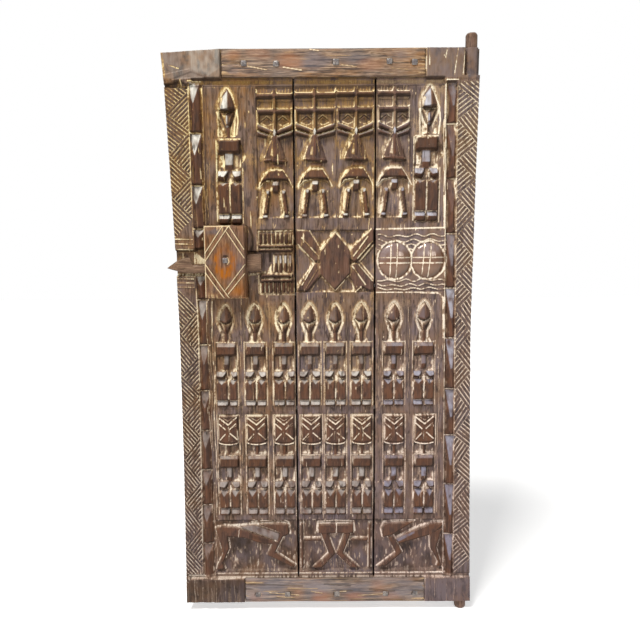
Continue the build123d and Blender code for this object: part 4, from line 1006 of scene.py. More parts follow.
# Two glossy egg-shaped bosses, half ellipsoids in hollow rims, with wavy lines above and below
def domes(face, plan):
    left, right, middle = plan["left"], plan["right"], plan["middle"]
    halfWide, halfHigh, rim = plan["halfWide"], plan["halfHigh"], plan["rim"]
    face.cutBar(left - 8, right + 2, plan["low"], plan["high"], plan["level"], 4)
    face.paint("calm", box(-236, -60, 840, 996), 0.85, 4)
    x = np.linspace(left + 4, right + 4, 60)
    for z, size, shift in plan["waves"]:
        turn = (x - left + shift) / 7.0
        line = z + size * np.sin(turn) * (0.75 + 0.25 * np.cos(turn * 0.37)) + 1.4 * np.sin(x / 23)
        face.groove(list(zip(x.tolist(), line.tolist())), 2.3, 1.8, 1.0)
        # a painted shadow line under each wave
        face.groove(list(zip(x.tolist(), (line - 4.2).tolist())), 2.0, 1.2, 0.0, 0.75)
    face.rub([(left, 998), (-63, 1001)], 3.0, 1.0)
    face.rub([(left, 838), (-66, 837)], 2.2, 0.9)
    turn = fullTurn(40)
    ring = np.random.default_rng(5).uniform(-1.2, 1.2, len(turn))
    across, up = (halfWide + rim + ring) * np.cos(turn), (halfHigh + rim + ring) * np.sin(turn)
    eggs = [list(zip((centre + across).tolist(), (middle + up).tolist())) for centre, _ in plan["centres"]]
    for egg in eggs:
        face.cut(egg, ground, 4)
    for egg in eggs:
        at = face.near(egg, 8)
        face.masks["clay"][at] *= insideBy(face.x[at], face.z[at], egg) < 0
        face.rub(egg + egg[:1], 3.6, 0.95)
        face.rub(egg[5:22], 5.0, 0.8)
    for centre, tilt in plan["centres"]:
        around = box(centre - 44, centre + 44, 870, 968)
        at = face.near(around)
        px, pz = (face.x[at] - centre) / halfWide, (face.z[at] - middle) / halfHigh
        bulge = np.clip(1 - px * px - pz * pz, 0, 1)
        raised = np.maximum(face.height[at], ground + plan["rise"] * np.sqrt(bulge))
        face.height[at] = np.where(bulge > 0, raised, face.height[at])
        # cool: painted highlight on each dome's upper left, laid in the pale mask; shade: painted shade on its right
        # and lower edges
        cool = 0.3 * soft((pz - 0.05 - 0.35 * px) / 0.5)
        shade = 0.35 * soft((px - 0.35) / 0.4) + 0.2 * soft((-pz - 0.6) / 0.3)
        looks = {"polish": 0.85, "calm": 1.0, "gloss": 1.0 - 0.4 * cool, "clay": 0.0, "sootAndShade": shade, "pale": cool}
        for label, value in looks.items():
            face.masks[label][at] = np.where(bulge > 0.03, value, face.masks[label][at])
        for z in (926, 912.5):
            face.groove([(centre - 39, z), (centre + 39, z)], 1.9, 1.3, 1.0)
        for dx in (-12, 4):
            face.groove([(centre + dx + 2 + tilt * (dx > 0) * 0.3, 962), (centre + dx - 1 - tilt, 876)], 1.9, 1.3,
                        1.0)


# each animal is a few overlapping plans, from its head to its tail
leftAnimal = [
    [(-663, 208), (-641, 214), (-609, 213), (-577, 201), (-496, 170), (-507, 161), (-548, 166), (-583, 179),
     (-629, 183), (-625, 150), (-642, 110), (-638, 91), (-663, 91), (-660, 104), (-645, 134), (-649, 156)],
    [(-600, 213), (-557, 218), (-490, 194), (-496, 171), (-577, 202)],
    [(-557, 219), (-484, 222), (-466, 218), (-464, 190), (-480, 183), (-501, 140), (-447, 102), (-453, 94),
     (-526, 132), (-504, 178), (-491, 194)]]
middleAnimal = [
    box(-434, -426, 94, 221),
    box(-426, -377, 170, 179),
    [(-387, 192), (-338, 191), (-338, 219), (-387, 219)],
    [(-381, 194), (-361, 194), (-340, 134), (-376, 94), (-403, 94), (-360, 136)]]
rightAnimal = [
    [(-214, 179), (-218, 203), (-212, 220), (-187, 222), (-126, 225), (-187, 186)],
    [(-202, 184), (-184, 184), (-160, 137), (-204, 98), (-230, 97), (-180, 137)],
    [(-181, 175), (-123, 205), (-83, 220), (-54, 221), (-53, 210), (-89, 185), (-171, 160)],
    [(-89, 190), (-52, 210), (-68, 149), (-53, 95), (-69, 98), (-65, 109), (-87, 150)]]


# Flat animals left standing in a sooty panel, their outlines rubbed with clay
def animals(face, shapes, left, right):
    face.cutBar(left, right, 84, 232, ground, 5)
    face.paint("calm", box(left, right, 84, 232), 0.8, 4)
    rough = roughness(face.height.shape, 3, 1.0, face.seed + 20)
    inside = (face.z > 84) & (face.z < 232) & (face.x > left) & (face.x < right)
    face.lay("clay", inside * 0.7 * soft((rough - 0.15) / 0.7))
    blotch = roughness(face.height.shape, 10, 9, face.seed + 21)
    face.lay("sootAndShade", inside * (0.2 + 0.5 * soft((blotch - 0.25) / 0.5)))
    for shape in shapes:
        face.halo(shape, 5, 0.7, 0.1)
        face.rub(shape + shape[:1], 2.6, 1.0)
    for shape in shapes:
        face.form(shape, ground + 10, 2.2, polish=0.95)
        face.paint("clay", shape, 0.0, 2.2)
        face.paint("sootAndShade", shape, 0.06, 2.0)
    face.rub([(left + 4, 80), (right - 4, 80)], 3.2, 0.75)


# Triangles between neighbouring corners of a zigzag, each filled with lines along one of its sides
def hatch(face, corners, pitch, lower, clay, shade=0.75, top=1346):
    for a, b, c in zip(corners[:-2], corners[1:-1], corners[2:]):
        triangle = [a, b, c]
        start, end = (b, c) if lower else (a, b)
        length = math.hypot(end[0] - start[0], end[1] - start[1])
        along = ((end[0] - start[0]) / length, (end[1] - start[1]) / length)
        at = face.near(triangle, 1)
        x, z = face.x[at], face.z[at]
        inside = insideBy(x, z, triangle)
        off = np.abs((x - start[0]) * along[1] - (z - start[1]) * along[0]) / pitch
        wave = np.abs(off - np.round(off)) * 2
        inside = np.where(z < top, inside, -9)
        line = soft((0.4 - wave) / 0.26) * (inside > -0.6) * soft((inside + 1.4) / 1.5)
        face.height[at] -= 2.2 * line
        face.lay("clay", clay * line, at)
        side = off - np.round(off)
        behind = 0.5 + 0.5 * (side * np.sign(along[0] + 1e-9) > 0)
        # dark: painted shade along one side of each groove
        dark = soft((wave - 0.36) / 0.16) * soft((1.2 - wave * shade) / 0.2) * behind * (inside > 0)
        face.lay("sootAndShade", shade * dark, at)
        face.masks["calm"][at] = np.where(inside > 0, 0.5, face.masks["calm"][at])


# Shingle-like units: a facet that faces up, rising to an arris. edges: heights and left sides
def ridge(face, edges, width, arris, steps, pale, run):
    for i, (high, low) in enumerate(zip(steps[:-1], steps[1:])):
        if high is None or low is None:
            continue
        mid = (high + low) / 2
        left = float(np.interp(mid, *edges))
        lean = (float(np.interp(high, *edges)) - float(np.interp(low, *edges))) / (high - low)
        corners = [(left + (low - mid) * lean, low), (left + width + (low - mid) * lean, low),
                   (left + width + (high - mid) * lean, high), (left + (high - mid) * lean, high)]

        def shingle(x, z):
            u = (x - left - (z - mid) * lean) / width
            side = np.where(u < arris, (arris - u) / arris, (u - arris) / (1 - arris + 1e-6))
            return np.minimum(front - 9 * side, front - 10 + 10 * (high - z) / (run * (high - low)))
        face.form(corners, shingle, 1.0, ground - 2, 1.0)
        # a painted shadow line under each unit, painted light on the kite facet that faces up and painted shade on
        # the side facets
        face.groove([(corners[0][0], low + 1), (corners[1][0], low + 1)], 1.6, 1.5, 0.0, 0.7)
        face.rub([(corners[3][0], high - 1.5), (corners[2][0], high - 1.5)], 2.2, 0.9)
        tip = (left + width * arris + (high - mid) * lean, high - run * (high - low))
        edge = (tip[0] + (2 if arris > 0.5 else -width * 0.22), high - run * 0.72 * (high - low))
        kite = [(corners[3][0] + 1, high - 3), (corners[2][0] - 1, high - 3), tip, edge]
        if arris > 0.5:
            kite = [(corners[3][0] + 2, high - 3), (corners[2][0] - 1, high - 3), (tip[0] + 2.5, tip[1] + 3),
                    (tip[0] - 3, tip[1])]
        face.paint("pale", kite, pale[i] if isinstance(pale, (list, tuple)) else pale, 1.6)
        stain = [(tip[0] + (1 if arris < 0.5 else -2), tip[1] + 8), (corners[1][0] - 1, high - 8),
                 (corners[1][0] - 1, low + 3), (tip[0] + 3, low + 3)]
        if arris < 0.5:
            face.paint("sootAndShade", [(corners[0][0] + 1, low + 2), (tip[0] - 1, low + 2), (tip[0] - 1, tip[1]),
                    (corners[0][0] + 1, edge[1] - 6)], 0.18, 3)
            face.paint("sootAndShade", stain, 0.3, 3)
        else:
            face.paint("sootAndShade", [(corners[0][0] + 1, low + 2), (tip[0] - 4, low + 2), (tip[0] - 4, tip[1] - 2),
                    (corners[3][0] + 1, high - 12)], 0.3, 3)


# An edge as heights and the x at each
def edgeLine(zs, xs):
    return (np.array(zs, float), np.array(xs, float))


leftEdge = edgeLine([0, 405, 740, 936, 1358, 1435], [-744, -740, -740, -743.5, -759, -764])
hingeEdge = edgeLine([0, 235, 740, 1093, 1367, 1435], [23, 17, 9, 13, 17.4, 18])
seams = {"left": -441.0, "leftLow": -438.5, "right": -237.5, "rightHigh": -240.0, "rightLow": -235.0}
cell = 1.55

left = Carving(leftEdge, edgeLine([0, 300, 1435], [-443.5, -443.8, -443.5]), 0, planksTop, cell, front, 11,
               fall=lambda x: 8 * np.clip((-617 - x) / 147, 0, 1))
bandInner = edgeLine([77, 426, 744, 1073, 1357], [-698, -694, -691, -699, -700])


# Corners that step between two edges at those heights
def zigzag(heights, inner, outer, startInner):
    found = []
    for i, z in enumerate(heights):
        edge = inner if (i % 2 == 0) == startInner else outer
        found.append((float(np.interp(z, *edge)), z))
    return found


# The step under the top rail: an olive-brown shelf between two dark lines of painted shadow
def ledge(face, left, right):
    face.cutBar(left, right, 1349, 1367, ground + 2, 3)
    face.rub([(left, 1358), (right, 1358)], 8.0, 0.36)
    face.paint("calm", box(left, right, 1347, 1368), 0.9, 2)
    face.groove([(left, 1366), (right, 1366)], 2.2, 1.0, 0.0, 0.9)
    face.groove([(left, 1348.5), (right, 1348.5)], 2.0, 1.2, 0.0, 0.85)


# The step above the bottom rail, its upper edge pale with clay, which also paints the light on that up-facing edge
def foot(face, left, right):
    face.cutBar(left, right, 67, 80, front - 8, 2.5)
    face.paint("calm", box(left, right, 66, 82), 0.9, 2)
    face.rub([(left, 74), (right, 74)], 8.0, 0.42)
    face.rub([(left, 69.5), (right, 69.5)], 2.6, 0.75)


# Long threads of clay down the grain
def streaks(face, lines):
    for x, low, high, half, amount in lines:
        zs = np.linspace(low, high, 40)
        wander = x + 1.3 * np.sin(zs / 37 + x) + 0.7 * np.sin(zs / 11 + 2 * x)
        face.groove(list(zip(wander.tolist(), zs.tolist())), half, 0.8, amount)
        # the twin groove to its right: a painted shade line
        face.groove(list(zip((wander + 2.6).tolist(), zs.tolist())), half, 0.5, 0.0, 0.5)


# The bed of a rail across a plank
def railBed(face, left, right, low, high):
    face.cutBar(left, right, low, high, -3.0, 0.8)


print("carving the left plank")
left.cutBar(-664, -440, 77, 1357, field, 3)
left.cut([(float(np.interp(z, *bandInner)), z) for z in (77, 744, 1357)] + [(-664, 1357), (-664, 77)], ground - 1, 3)
left.cutBar(-790, -699, 77, 1362, front - 1.5, 1.5)
ledge(left, -692, -430)
left.cut([(-763, 1345), (-700, 1340), (-697, 1352), (-718, 1362), (-763, 1353)], front - 9, 3)
# painted shadow under the corner block
left.paint("sootAndShade", [(-763, 1345), (-700, 1340), (-699, 1349), (-763, 1352)], 0.85, 3)
foot(left, -742, -430)
railBed(left, rail["left"], -400, rail["low"] - 0.5, 1460)
railBed(left, rail["footLeft"], -400, -30, rail["footHigh"] + 0.5)
left.cutBar(-790, -664, 881, 949, ground, 3)
left.cutBar(-664, -500, 882, 946, ground, 3)
left.cutBar(-666, -560, 826, 1009, ground - 2, 2)
largeFigure(left, -603.5, -606, 0)
maskedDancer(left, -488, 45, 45, (True, False))
comb(left, combPlan)
streaks(left, [(-669, 250, 820, 1.5, 0.8), (-662, 90, 700, 1.4, 0.6), (-656, 240, 830, 1.7, 0.85),
               (-651.5, 330, 640, 1.3, 0.6), (-671, 1020, 1240, 1.6, 0.5), (-659, 1030, 1160, 1.4, 0.6),
               (-653, 1090, 1300, 1.2, 0.4), (-584, 640, 790, 1.2, 0.6), (-509, 660, 800, 1.2, 0.5),
               (-584, 380, 500, 1.2, 0.5), (-590, 560, 700, 1.1, 0.5)])
for x, lift, glow, shift in ((-622, 0, 0.65, 4), (-546.5, 1, 0.85, 1.5), (-472.5, 0, 1.0, 2.5)):
    hoodedFigure(left, x, lift, glow, shift)
for i, x in enumerate((-621, -546.5, -474)):
    shieldFigure(left, x, i)
animals(left, leftAnimal, -670, -430)
for line in ([(-663, 210), (-641, 216), (-609, 215), (-557, 220), (-490, 196)], [(-577, 203), (-497, 172)],
             [(-566, 223), (-520, 227), (-478, 228), (-463, 220), (-461, 188)]):
    left.rub(line, 2.7, 1.0)
left.groove([(-598, 205), (-601, 183)], 1.3, 1.2, 0.9)
left.paint("sootAndShade", [(-575, 182), (-520, 166), (-507, 164), (-520, 176), (-572, 194)], 0.4, 3)
# painted light on the animal's back
left.paint("pale", leftAnimal[1], 0.6, 2)
ridge(left, bandInner, 29, 0.42, [1362, 1238, 1110, 1002, 951, None, 885, 823, 706, 585, 478, 371, 274, 166, 66],
      (0.9, 0.95, 0.85, 0.8, 0, 0, 0.9, 0.5, 0.42, 0.4, 0.4, 0.42, 0.45, 0.35), 0.46)
upper = zigzag([1385, 1338, 1284, 1240, 1182, 1132, 1081, 1029, 978], bandInner, leftEdge, False)
lower = zigzag([850, 797, 740, 677, 626, 577, 519, 463, 404, 342, 286, 221, 161, 106, 50], bandInner, leftEdge, False)
hatch(left, upper, 8.2, False, 0.95, 0.7)
hatch(left, lower, 7.9, False, 1.0, 0.9)
for z in (976, 964, 950, 876, 866, 855):
    left.groove([(-770, z + 1), (-699, z - 1)], 1.8, 1.8, 1.0)
    left.groove([(-770, z - 3), (-699, z - 5)], 1.5, 1.0, 0.0, 0.6)
left.rub([(-698, 78), (-694, 426), (-691, 744), (-694, 850)], 1.9, 0.85)
left.rub([(-697, 985), (-699, 1100), (-700, 1350)], 1.7, 0.8)
left.rub([(-742, 73), (-692, 74)], 2.8, 1.0)
left.rub([(-692, 69), (-665, 66), (-584, 69)], 2.2, 0.8)
left.rub([(-584, 78), (-430, 79)], 3.0, 0.8)
for i in range(16):
    x = -740 + 3 * i + 1.3 * math.sin(i * 2.4)
    left.groove([(x, 76), (x + 1, 90 + 7 * math.sin(i * 1.7))], 1.0, 0.8, 0.75)
left.paint("clay", [(-700, 912), (-664, 912), (-664, 925), (-676, 928), (-694, 945), (-700, 944)], 0.85, 2)
# painted shadow to the right of the lock case
left.stroke("sootAndShade", [(-556, 1003), (-549, 985), (-548, 960), (-553, 944)], 5.0, 0.9)

print("carving the middle plank")
middle = Carving(seams["leftLow"], seams["rightHigh"], 0, planksTop, cell, front, 23)
middle.cutBar(-445, -235, 77, 1357, field, 3)
ledge(middle, -450, -230)
foot(middle, -450, -230)
railBed(middle, -450, -230, rail["low"] - 0.5, 1460)
railBed(middle, -450, -230, -30, rail["footHigh"] + 0.5)
maskedDancer(middle, -388.5, 49, 52, (False, True), 2)
maskedDancer(middle, -285.5, 48, 44, (False, False), 4)
crossedLozenge(middle)
middle.stroke("pale", [(-375, 655), (-305, 655)], 85, 0.08)
for x, lift, glow, shift in ((-405.5, 1, 0.95, 0), (-339.5, 1, 0.9, 1), (-272, 4, 0.85, 1)):
    hoodedFigure(middle, x, lift, glow, shift)
for i, x in enumerate((-403, -339.5, -270)):
    shieldFigure(middle, x, i + 1)
shapes = middleAnimal + [mirrored(shape, middleLine) for shape in middleAnimal]
animals(middle, shapes, -446, -232)
middle.rub([(-391, 196), (-389, 222), (-340, 226), (-291, 223), (-288, 196)], 2.8, 1.0)
middle.groove([(-338.5, 190), (-338.5, 221)], 2.2, 1.6, 1.0)
middle.rub([(-438, 79), (-237, 79)], 3.0, 0.9)
for i in range(15):
    x = -376 + 5.2 * i
    middle.groove([(x, 92 + 3 * math.sin(i * 1.9)), (x + (x + 339) * 0.16, 116 + 5 * math.sin(i * 2.3))], 1.1, 0.9,
                  0.6)

print("carving the right plank")
right = Carving(seams["rightLow"], hingeEdge, 0, planksTop, cell, front, 37)
ridgeRight = edgeLine([77, 422, 740, 1069, 1357], [-50, -53, -57, -62, -63])
bandRight = edgeLine([77, 422, 740, 1069, 1357], [-23, -26, -30, -33, -35])
right.cut([(-245, 77), (-51, 77), (-64, 1357), (-245, 1357)], field, 3)
right.cut([(-51, 77), (-23, 77), (-30, 740), (-36, 1357), (-64, 1357), (-58, 740)], ground - 1, 2)
right.cut([(-23, 77), (60, 77), (60, 1362), (-36, 1362), (-30, 740)], front - 1.5, 1.5)
ledge(right, -245, -66)
foot(right, -245, 40)
railBed(right, -250, rail["right"], rail["low"] - 0.5, 1460)
railBed(right, -250, rail["footRight"], -30, rail["footHigh"] + 0.5)
largeFigure(right, -110, -104, 5)
maskedDancer(right, -190, 42, 38, (False, False), 5)
domes(right, domePlan)
for x, lift, glow, shift in ((-188, 4, 0.85, 1), (-110, 6, 0.8, 1)):
    hoodedFigure(right, x, lift, glow, shift)
for i, x in enumerate((-185.5, -106)):
    shieldFigure(right, x, i + 1)
animals(right, rightAnimal, -243, -50)
for line in ([(-215, 180), (-220, 204), (-212, 222), (-187, 225), (-128, 227)],
             [(-180, 177), (-123, 208), (-83, 222), (-52, 224)]):
    right.rub(line, 2.6, 1.0)
# painted light on the animal's back
right.paint("pale", [(-181, 176), (-128, 200), (-128, 192), (-172, 168)], 0.5, 2)
ridge(right, ridgeRight, 28, 0.66, [1361, 1257, 1123, 987, 849, 720, 586, 462, 328, 189, 69],
      (0.3, 0.14, 0.06, 0.4, 0.85, 0.85, 0.8, 0.8, 0.75, 0.7), 0.62)
fence = zigzag([1400, 1345, 1303, 1265, 1206, 1167, 1118, 1079, 1029, 979, 926, 876, 831, 789, 731, 680, 628, 580,
                524, 461, 427, 366, 328, 277, 218, 183, 120, 80], bandRight, hingeEdge, False)
hatch(right, fence, 9.3, True, 1.0, 0.55, 1356)
right.rub([(-51, 78), (-58, 740), (-65, 1350)], 2.0, 0.85)
right.rub([(-24, 90), (-31, 740), (-36, 1350)], 1.4, 0.6)
right.rub([(-62, 1000), (-64, 1080)], 3.4, 1.0)
right.rub([(-120, 837), (-72, 835), (-62, 822), (-60, 720)], 3.6, 0.95)
right.rub([(-237, 79), (-100, 80), (-50, 80)], 3.2, 0.95)
right.rub([(-98, 80), (-46, 81)], 4.0, 1.0)
streaks(right, [(-70, 250, 700, 1.3, 0.6), (-149, 560, 800, 1.2, 0.55), (-66, 1090, 1340, 1.6, 0.8),
                (-227, 560, 720, 1.2, 0.5)])
# the post that carries the upper pivot, left standing in front of the corner block
right.cutBar(-20, 40, rail["low"] + 2, 1460, ground - 1, 3)
right.bar(-16, 15, 1368, 1460,
          lambda x, z: ground + 12 * np.sqrt(np.clip(1 - ((x + 0.5) / 17) ** 2, 0, 1)), 2, ground - 1, 0.3)
for line in ([(-37, 1434), (-41, 1402), (-45, 1371)], [(-20, 1434), (-22, 1400), (-24, 1372)],
             [(-63, 1434), (-67, 1414)], [(-71, 1418), (-66, 1411)], [(-107, 1434), (-106, 1395)]):
    right.groove(line, 2.0, 1.6, 1.0)

# corner blocks: smooth and bare but for a few knife lines
for face, block, pale, dark in ((left, box(-770, -616, 1364, 1440), 0.12, 0.0),
                                (right, box(-114, 20, 1364, 1440), 0.1, 0.2),
                                (left, box(-750, -587, -5, 66), 0.0, 0.6),
                                (right, box(-100, 30, -5, 66), 0.06, 0.1)):
    face.paint("calm", block, 0.9, 3)
    face.paint("pale", block, pale, 4)
    face.paint("sootAndShade", block, dark, 5)
left.cut([(-700, 1440), (-690, 1386), (-764, 1370), (-775, 1440)], front - 1.2, 5)
left.cut([(-690, 1386), (-640, 1366), (-764, 1360)], front - 1.8, 5)
left.paint("pale", [(-700, 1440), (-690, 1386), (-655, 1366), (-616, 1390), (-616, 1440)], 0.26, 4)
left.rub([(-762, 1428), (-757, 1370)], 4.0, 0.8)
left.groove([(-745, 1398), (-722, 1390)], 1.6, 1.2, 1.0)
streaks(left, [(-722, -4, 66, 1.6, 0.8), (-713, 20, 60, 1.4, 0.7), (-699, -2, 44, 1.5, 0.75),
               (-686, 12, 62, 1.4, 0.7), (-676, 0, 40, 1.5, 0.7), (-664, 0, 62, 1.6, 0.8), (-653, 24, 62, 1.4, 0.7),
               (-640, 10, 66, 1.4, 0.75), (-626, -2, 40, 1.4, 0.6), (-612, -4, 50, 1.5, 0.7)])
left.masks["calm"] *= 1 - 0.5 * ((left.z < 66) & (left.x < -587))
streaks(right, [(-85, 0, 60, 1.0, 0.55), (-72, 10, 66, 1.1, 0.6), (-40, 0, 64, 1.0, 0.5), (-20, 6, 60, 1.0, 0.5)])
for face in (left, middle, right):
    face.weather()

for i, rows in enumerate(zones(left, (530, 1010))):
    board("leftPlank_%d" % (i + 1), left, rows, -21.0, plankWood, ["left_plank"], meet=(None, seams["left"]))
for i, rows in enumerate(zones(middle, (822,))):
    board("middlePlank_%d" % (i + 1), middle, rows, -21.0, coreWood, ["middle_plank"],
          meet=(seams["left"], seams["right"]))
for i, rows in enumerate(zones(right, (822,))):
    board("rightPlank_%d" % (i + 1), right, rows, -21.0, hingeWood, ["right_plank"], meet=(seams["right"], None))
print("planks made")


# marks: line, half width, depth, clay and soot-and-shade of each crack or cut. patches: mask, middle, half sizes and
# strength
topRailPlan = {
    "edges": (-616, -116, 1367.5, 1435), "seed": 51, "dustAndLitFacets": 0.12,
    "nails": [(-561, 1400), (-483, 1399), (-335.5, 1402), (-205, 1403), (-143, 1401)],
    "marks": [
        ([(-552, 1394), (-505, 1385)], 1.8, 1.5, 0.9, 0.0), ([(-465, 1391), (-420, 1384)], 2.2, 1.5, 0.95, 0.0),
        ([(-612, 1398), (-570, 1401)], 1.4, 1.2, 0.3, 0.5), ([(-400, 1433), (-378, 1429)], 2.0, 1.0, 0.9, 0.0),
        ([(-330, 1380), (-262, 1376)], 1.3, 1.3, 0.1, 0.7), ([(-200, 1388), (-160, 1384)], 1.5, 1.2, 0.5, 0.2),
        ([(-322, 1396), (-285, 1391)], 1.6, 1.3, 0.8, 0.0), ([(-250, 1424), (-215, 1421)], 1.2, 1.0, 0.3, 0.5)],
    "patches": [
        ("stain", -448, 1412, 36, 24, 0.55), ("polish", -390, 1405, 38, 30, 0.8),
        ("polish", -290, 1412, 44, 22, 0.55), ("stain", -520, 1420, 30, 14, 0.3),
        ("stain", -250, 1395, 34, 16, 0.35), ("polish", -175, 1420, 30, 14, 0.5),
        ("polish", -596, 1385, 22, 16, 0.4), ("stain", -590, 1420, 20, 12, 0.35)]}
bottomRailPlan = {
    "edges": (-584.5, -101.5, 0.5, 67.5), "seed": 61, "dustAndLitFacets": 0.4,
    "nails": [(-550, 23), (-471, 23), (-337.5, 23), (-206.5, 23), (-126, 24)],
    "marks": [
        ([(-520, 27), (-440, 20)], 1.8, 1.5, 0.8, 0.0), ([(-500, 16), (-452, 12)], 1.5, 1.3, 0.8, 0.0),
        ([(-408, 31), (-376, 25)], 1.4, 1.2, 0.9, 0.0), ([(-330, 33), (-295, 33)], 1.4, 1.2, 0.3, 0.6),
        ([(-280, 18), (-215, 22)], 1.5, 1.2, 0.8, 0.0), ([(-350, 4), (-310, 3)], 1.4, 1.2, 0.6, 0.0),
        ([(-570, 52), (-430, 47)], 1.6, 1.2, 0.2, 0.8), ([(-372, 52), (-300, 47)], 1.6, 1.2, 0.2, 0.8),
        ([(-345, 29), (-312, 30)], 1.8, 1.2, 0.9, 0.0), ([(-250, 36), (-180, 31)], 1.7, 1.2, 0.2, 0.8),
        ([(-300, 8), (-160, 6)], 1.8, 1.2, 0.3, 0.7), ([(-470, 40), (-390, 38)], 1.4, 1.0, 0.7, 0.1)],
    "patches": [
        ("stain", -380, 14, 26, 16, 0.6), ("stain", -285, 16, 34, 13, 0.55), ("stain", -190, 12, 30, 14, 0.4),
        ("stain", -560, 12, 24, 18, 0.35), ("polish", -520, 48, 60, 24, 0.85), ("polish", -400, 40, 40, 34, 0.75),
        ("polish", -280, 30, 50, 34, 0.9), ("polish", -160, 40, 50, 30, 0.8), ("stain", -440, 26, 18, 22, 0.3),
        ("stain", -225, 44, 24, 18, 0.4)]}


# Worn patches: ovals with ragged edges, each (mask, middle x, middle z, half width, half height, strength)
def spots(face, patches, ragged, size, wander):
    for label, x, z, wide, tall, amount in patches:
        away = np.hypot((face.x - x) / wide, (face.z - z) / tall)
        face.lay(label, amount * soft(size - away + wander * ragged))


# A flat bar with rounded edges, adzed along its length, then cut by its cracks
def makeRail(name, cadNode, plan):
    left, right, low, high = plan["edges"]
    seed = plan["seed"]
    face = Carving(left, right, low, high, 1.6, 22.4, seed)
    edge = np.minimum.reduce([face.x - left, right - face.x, face.z - low, high - face.z])
    face.height -= 2.2 * (1 - soft(edge / 4))
    shape = face.height.shape
    face.height -= (1.3 * np.clip(0.5 + roughness(shape, 5, 26, seed), 0, 1)
                    + 0.5 * np.clip(roughness(shape, 1.0, 18, seed + 1), 0, 1))
    for points, half, depth, clay, sootAndShade in plan["marks"]:
        face.groove(points, half, depth, clay, sootAndShade)
        # a painted shadow line under each crack
        face.groove([(x, z - half * 1.5) for x, z in points], half * 0.8, depth * 0.4, 0.0, 0.7)
    for i, (x, z) in enumerate(plan["nails"]):
        side = 1 if i % 2 else -1
        # painted shadow in the groove beside each nail head
        face.groove([(x + side * 8, z + 4), (x + side * 9, z - 3)], 2.2, 1.5, 0.0, 1.0)
        face.groove([(x - side * 8.5, z + 3), (x - side * 8, z - 5)], 1.8, 0.6, 0.25)
        face.groove([(x - 6, z + 9), (x + 7, z + 8)], 1.4, 0.4, 0.25)
    spots(face, plan["patches"], roughness(shape, 4, 12, seed + 4), 1.3, 0.4)
    face.lay("polish", 0.4 * np.clip(0.2 + roughness(shape, 12, 30, seed + 7), 0, 1))
    face.lay("pale", plan["dustAndLitFacets"] * np.clip(0.55 + 0.5 * roughness(shape, 3, 22, seed + 8), 0, 1))
    face.lay("clay", 0.55 * soft((roughness(shape, 1.0, 18, seed + 5) - 0.75) / 0.5))
    face.lay("sootAndShade", 0.6 * soft((roughness(shape, 1.1, 24, seed + 6) - 0.95) / 0.4))
    return board(name, face, slice(0, len(face.rowZ)), 0.0, railWood, [cadNode], backWear=0.3)


makeRail("topRail", "top_rail", topRailPlan)
makeRail("bottomRail", "bottom_rail", bottomRailPlan)
print("rails made")


casePlan = {"left": -664.0, "right": -562.0, "low": 828.0, "high": 1007.0, "rise": 57.0, "back": 7.0, "seed": 71,
            "nail": (-612, 921), "rustRing": (21, 33), "rustSpot": (-584, 846, 17, 13),
            "lines": [((-616.5, 1007), (-666, 934)), ((-602, 1006), (-665, 916)), ((-602, 1006), (-566, 949)),
        ((-609, 993), (-565, 927)), ((-662, 912), (-605, 829)), ((-664, 893.5), (-617, 828)),
        ((-564, 911), (-614, 847)), ((-565, 889), (-607, 838))],
            "patches": [("polish", -638, 992, 20, 9, 0.9), ("polish", -652, 918, 12, 9, 0.6),
        ("polish", -577, 909, 13, 14, 0.85), ("polish", -600, 865, 14, 20, 0.5),
        ("polish", -640, 850, 18, 12, 0.4)]}


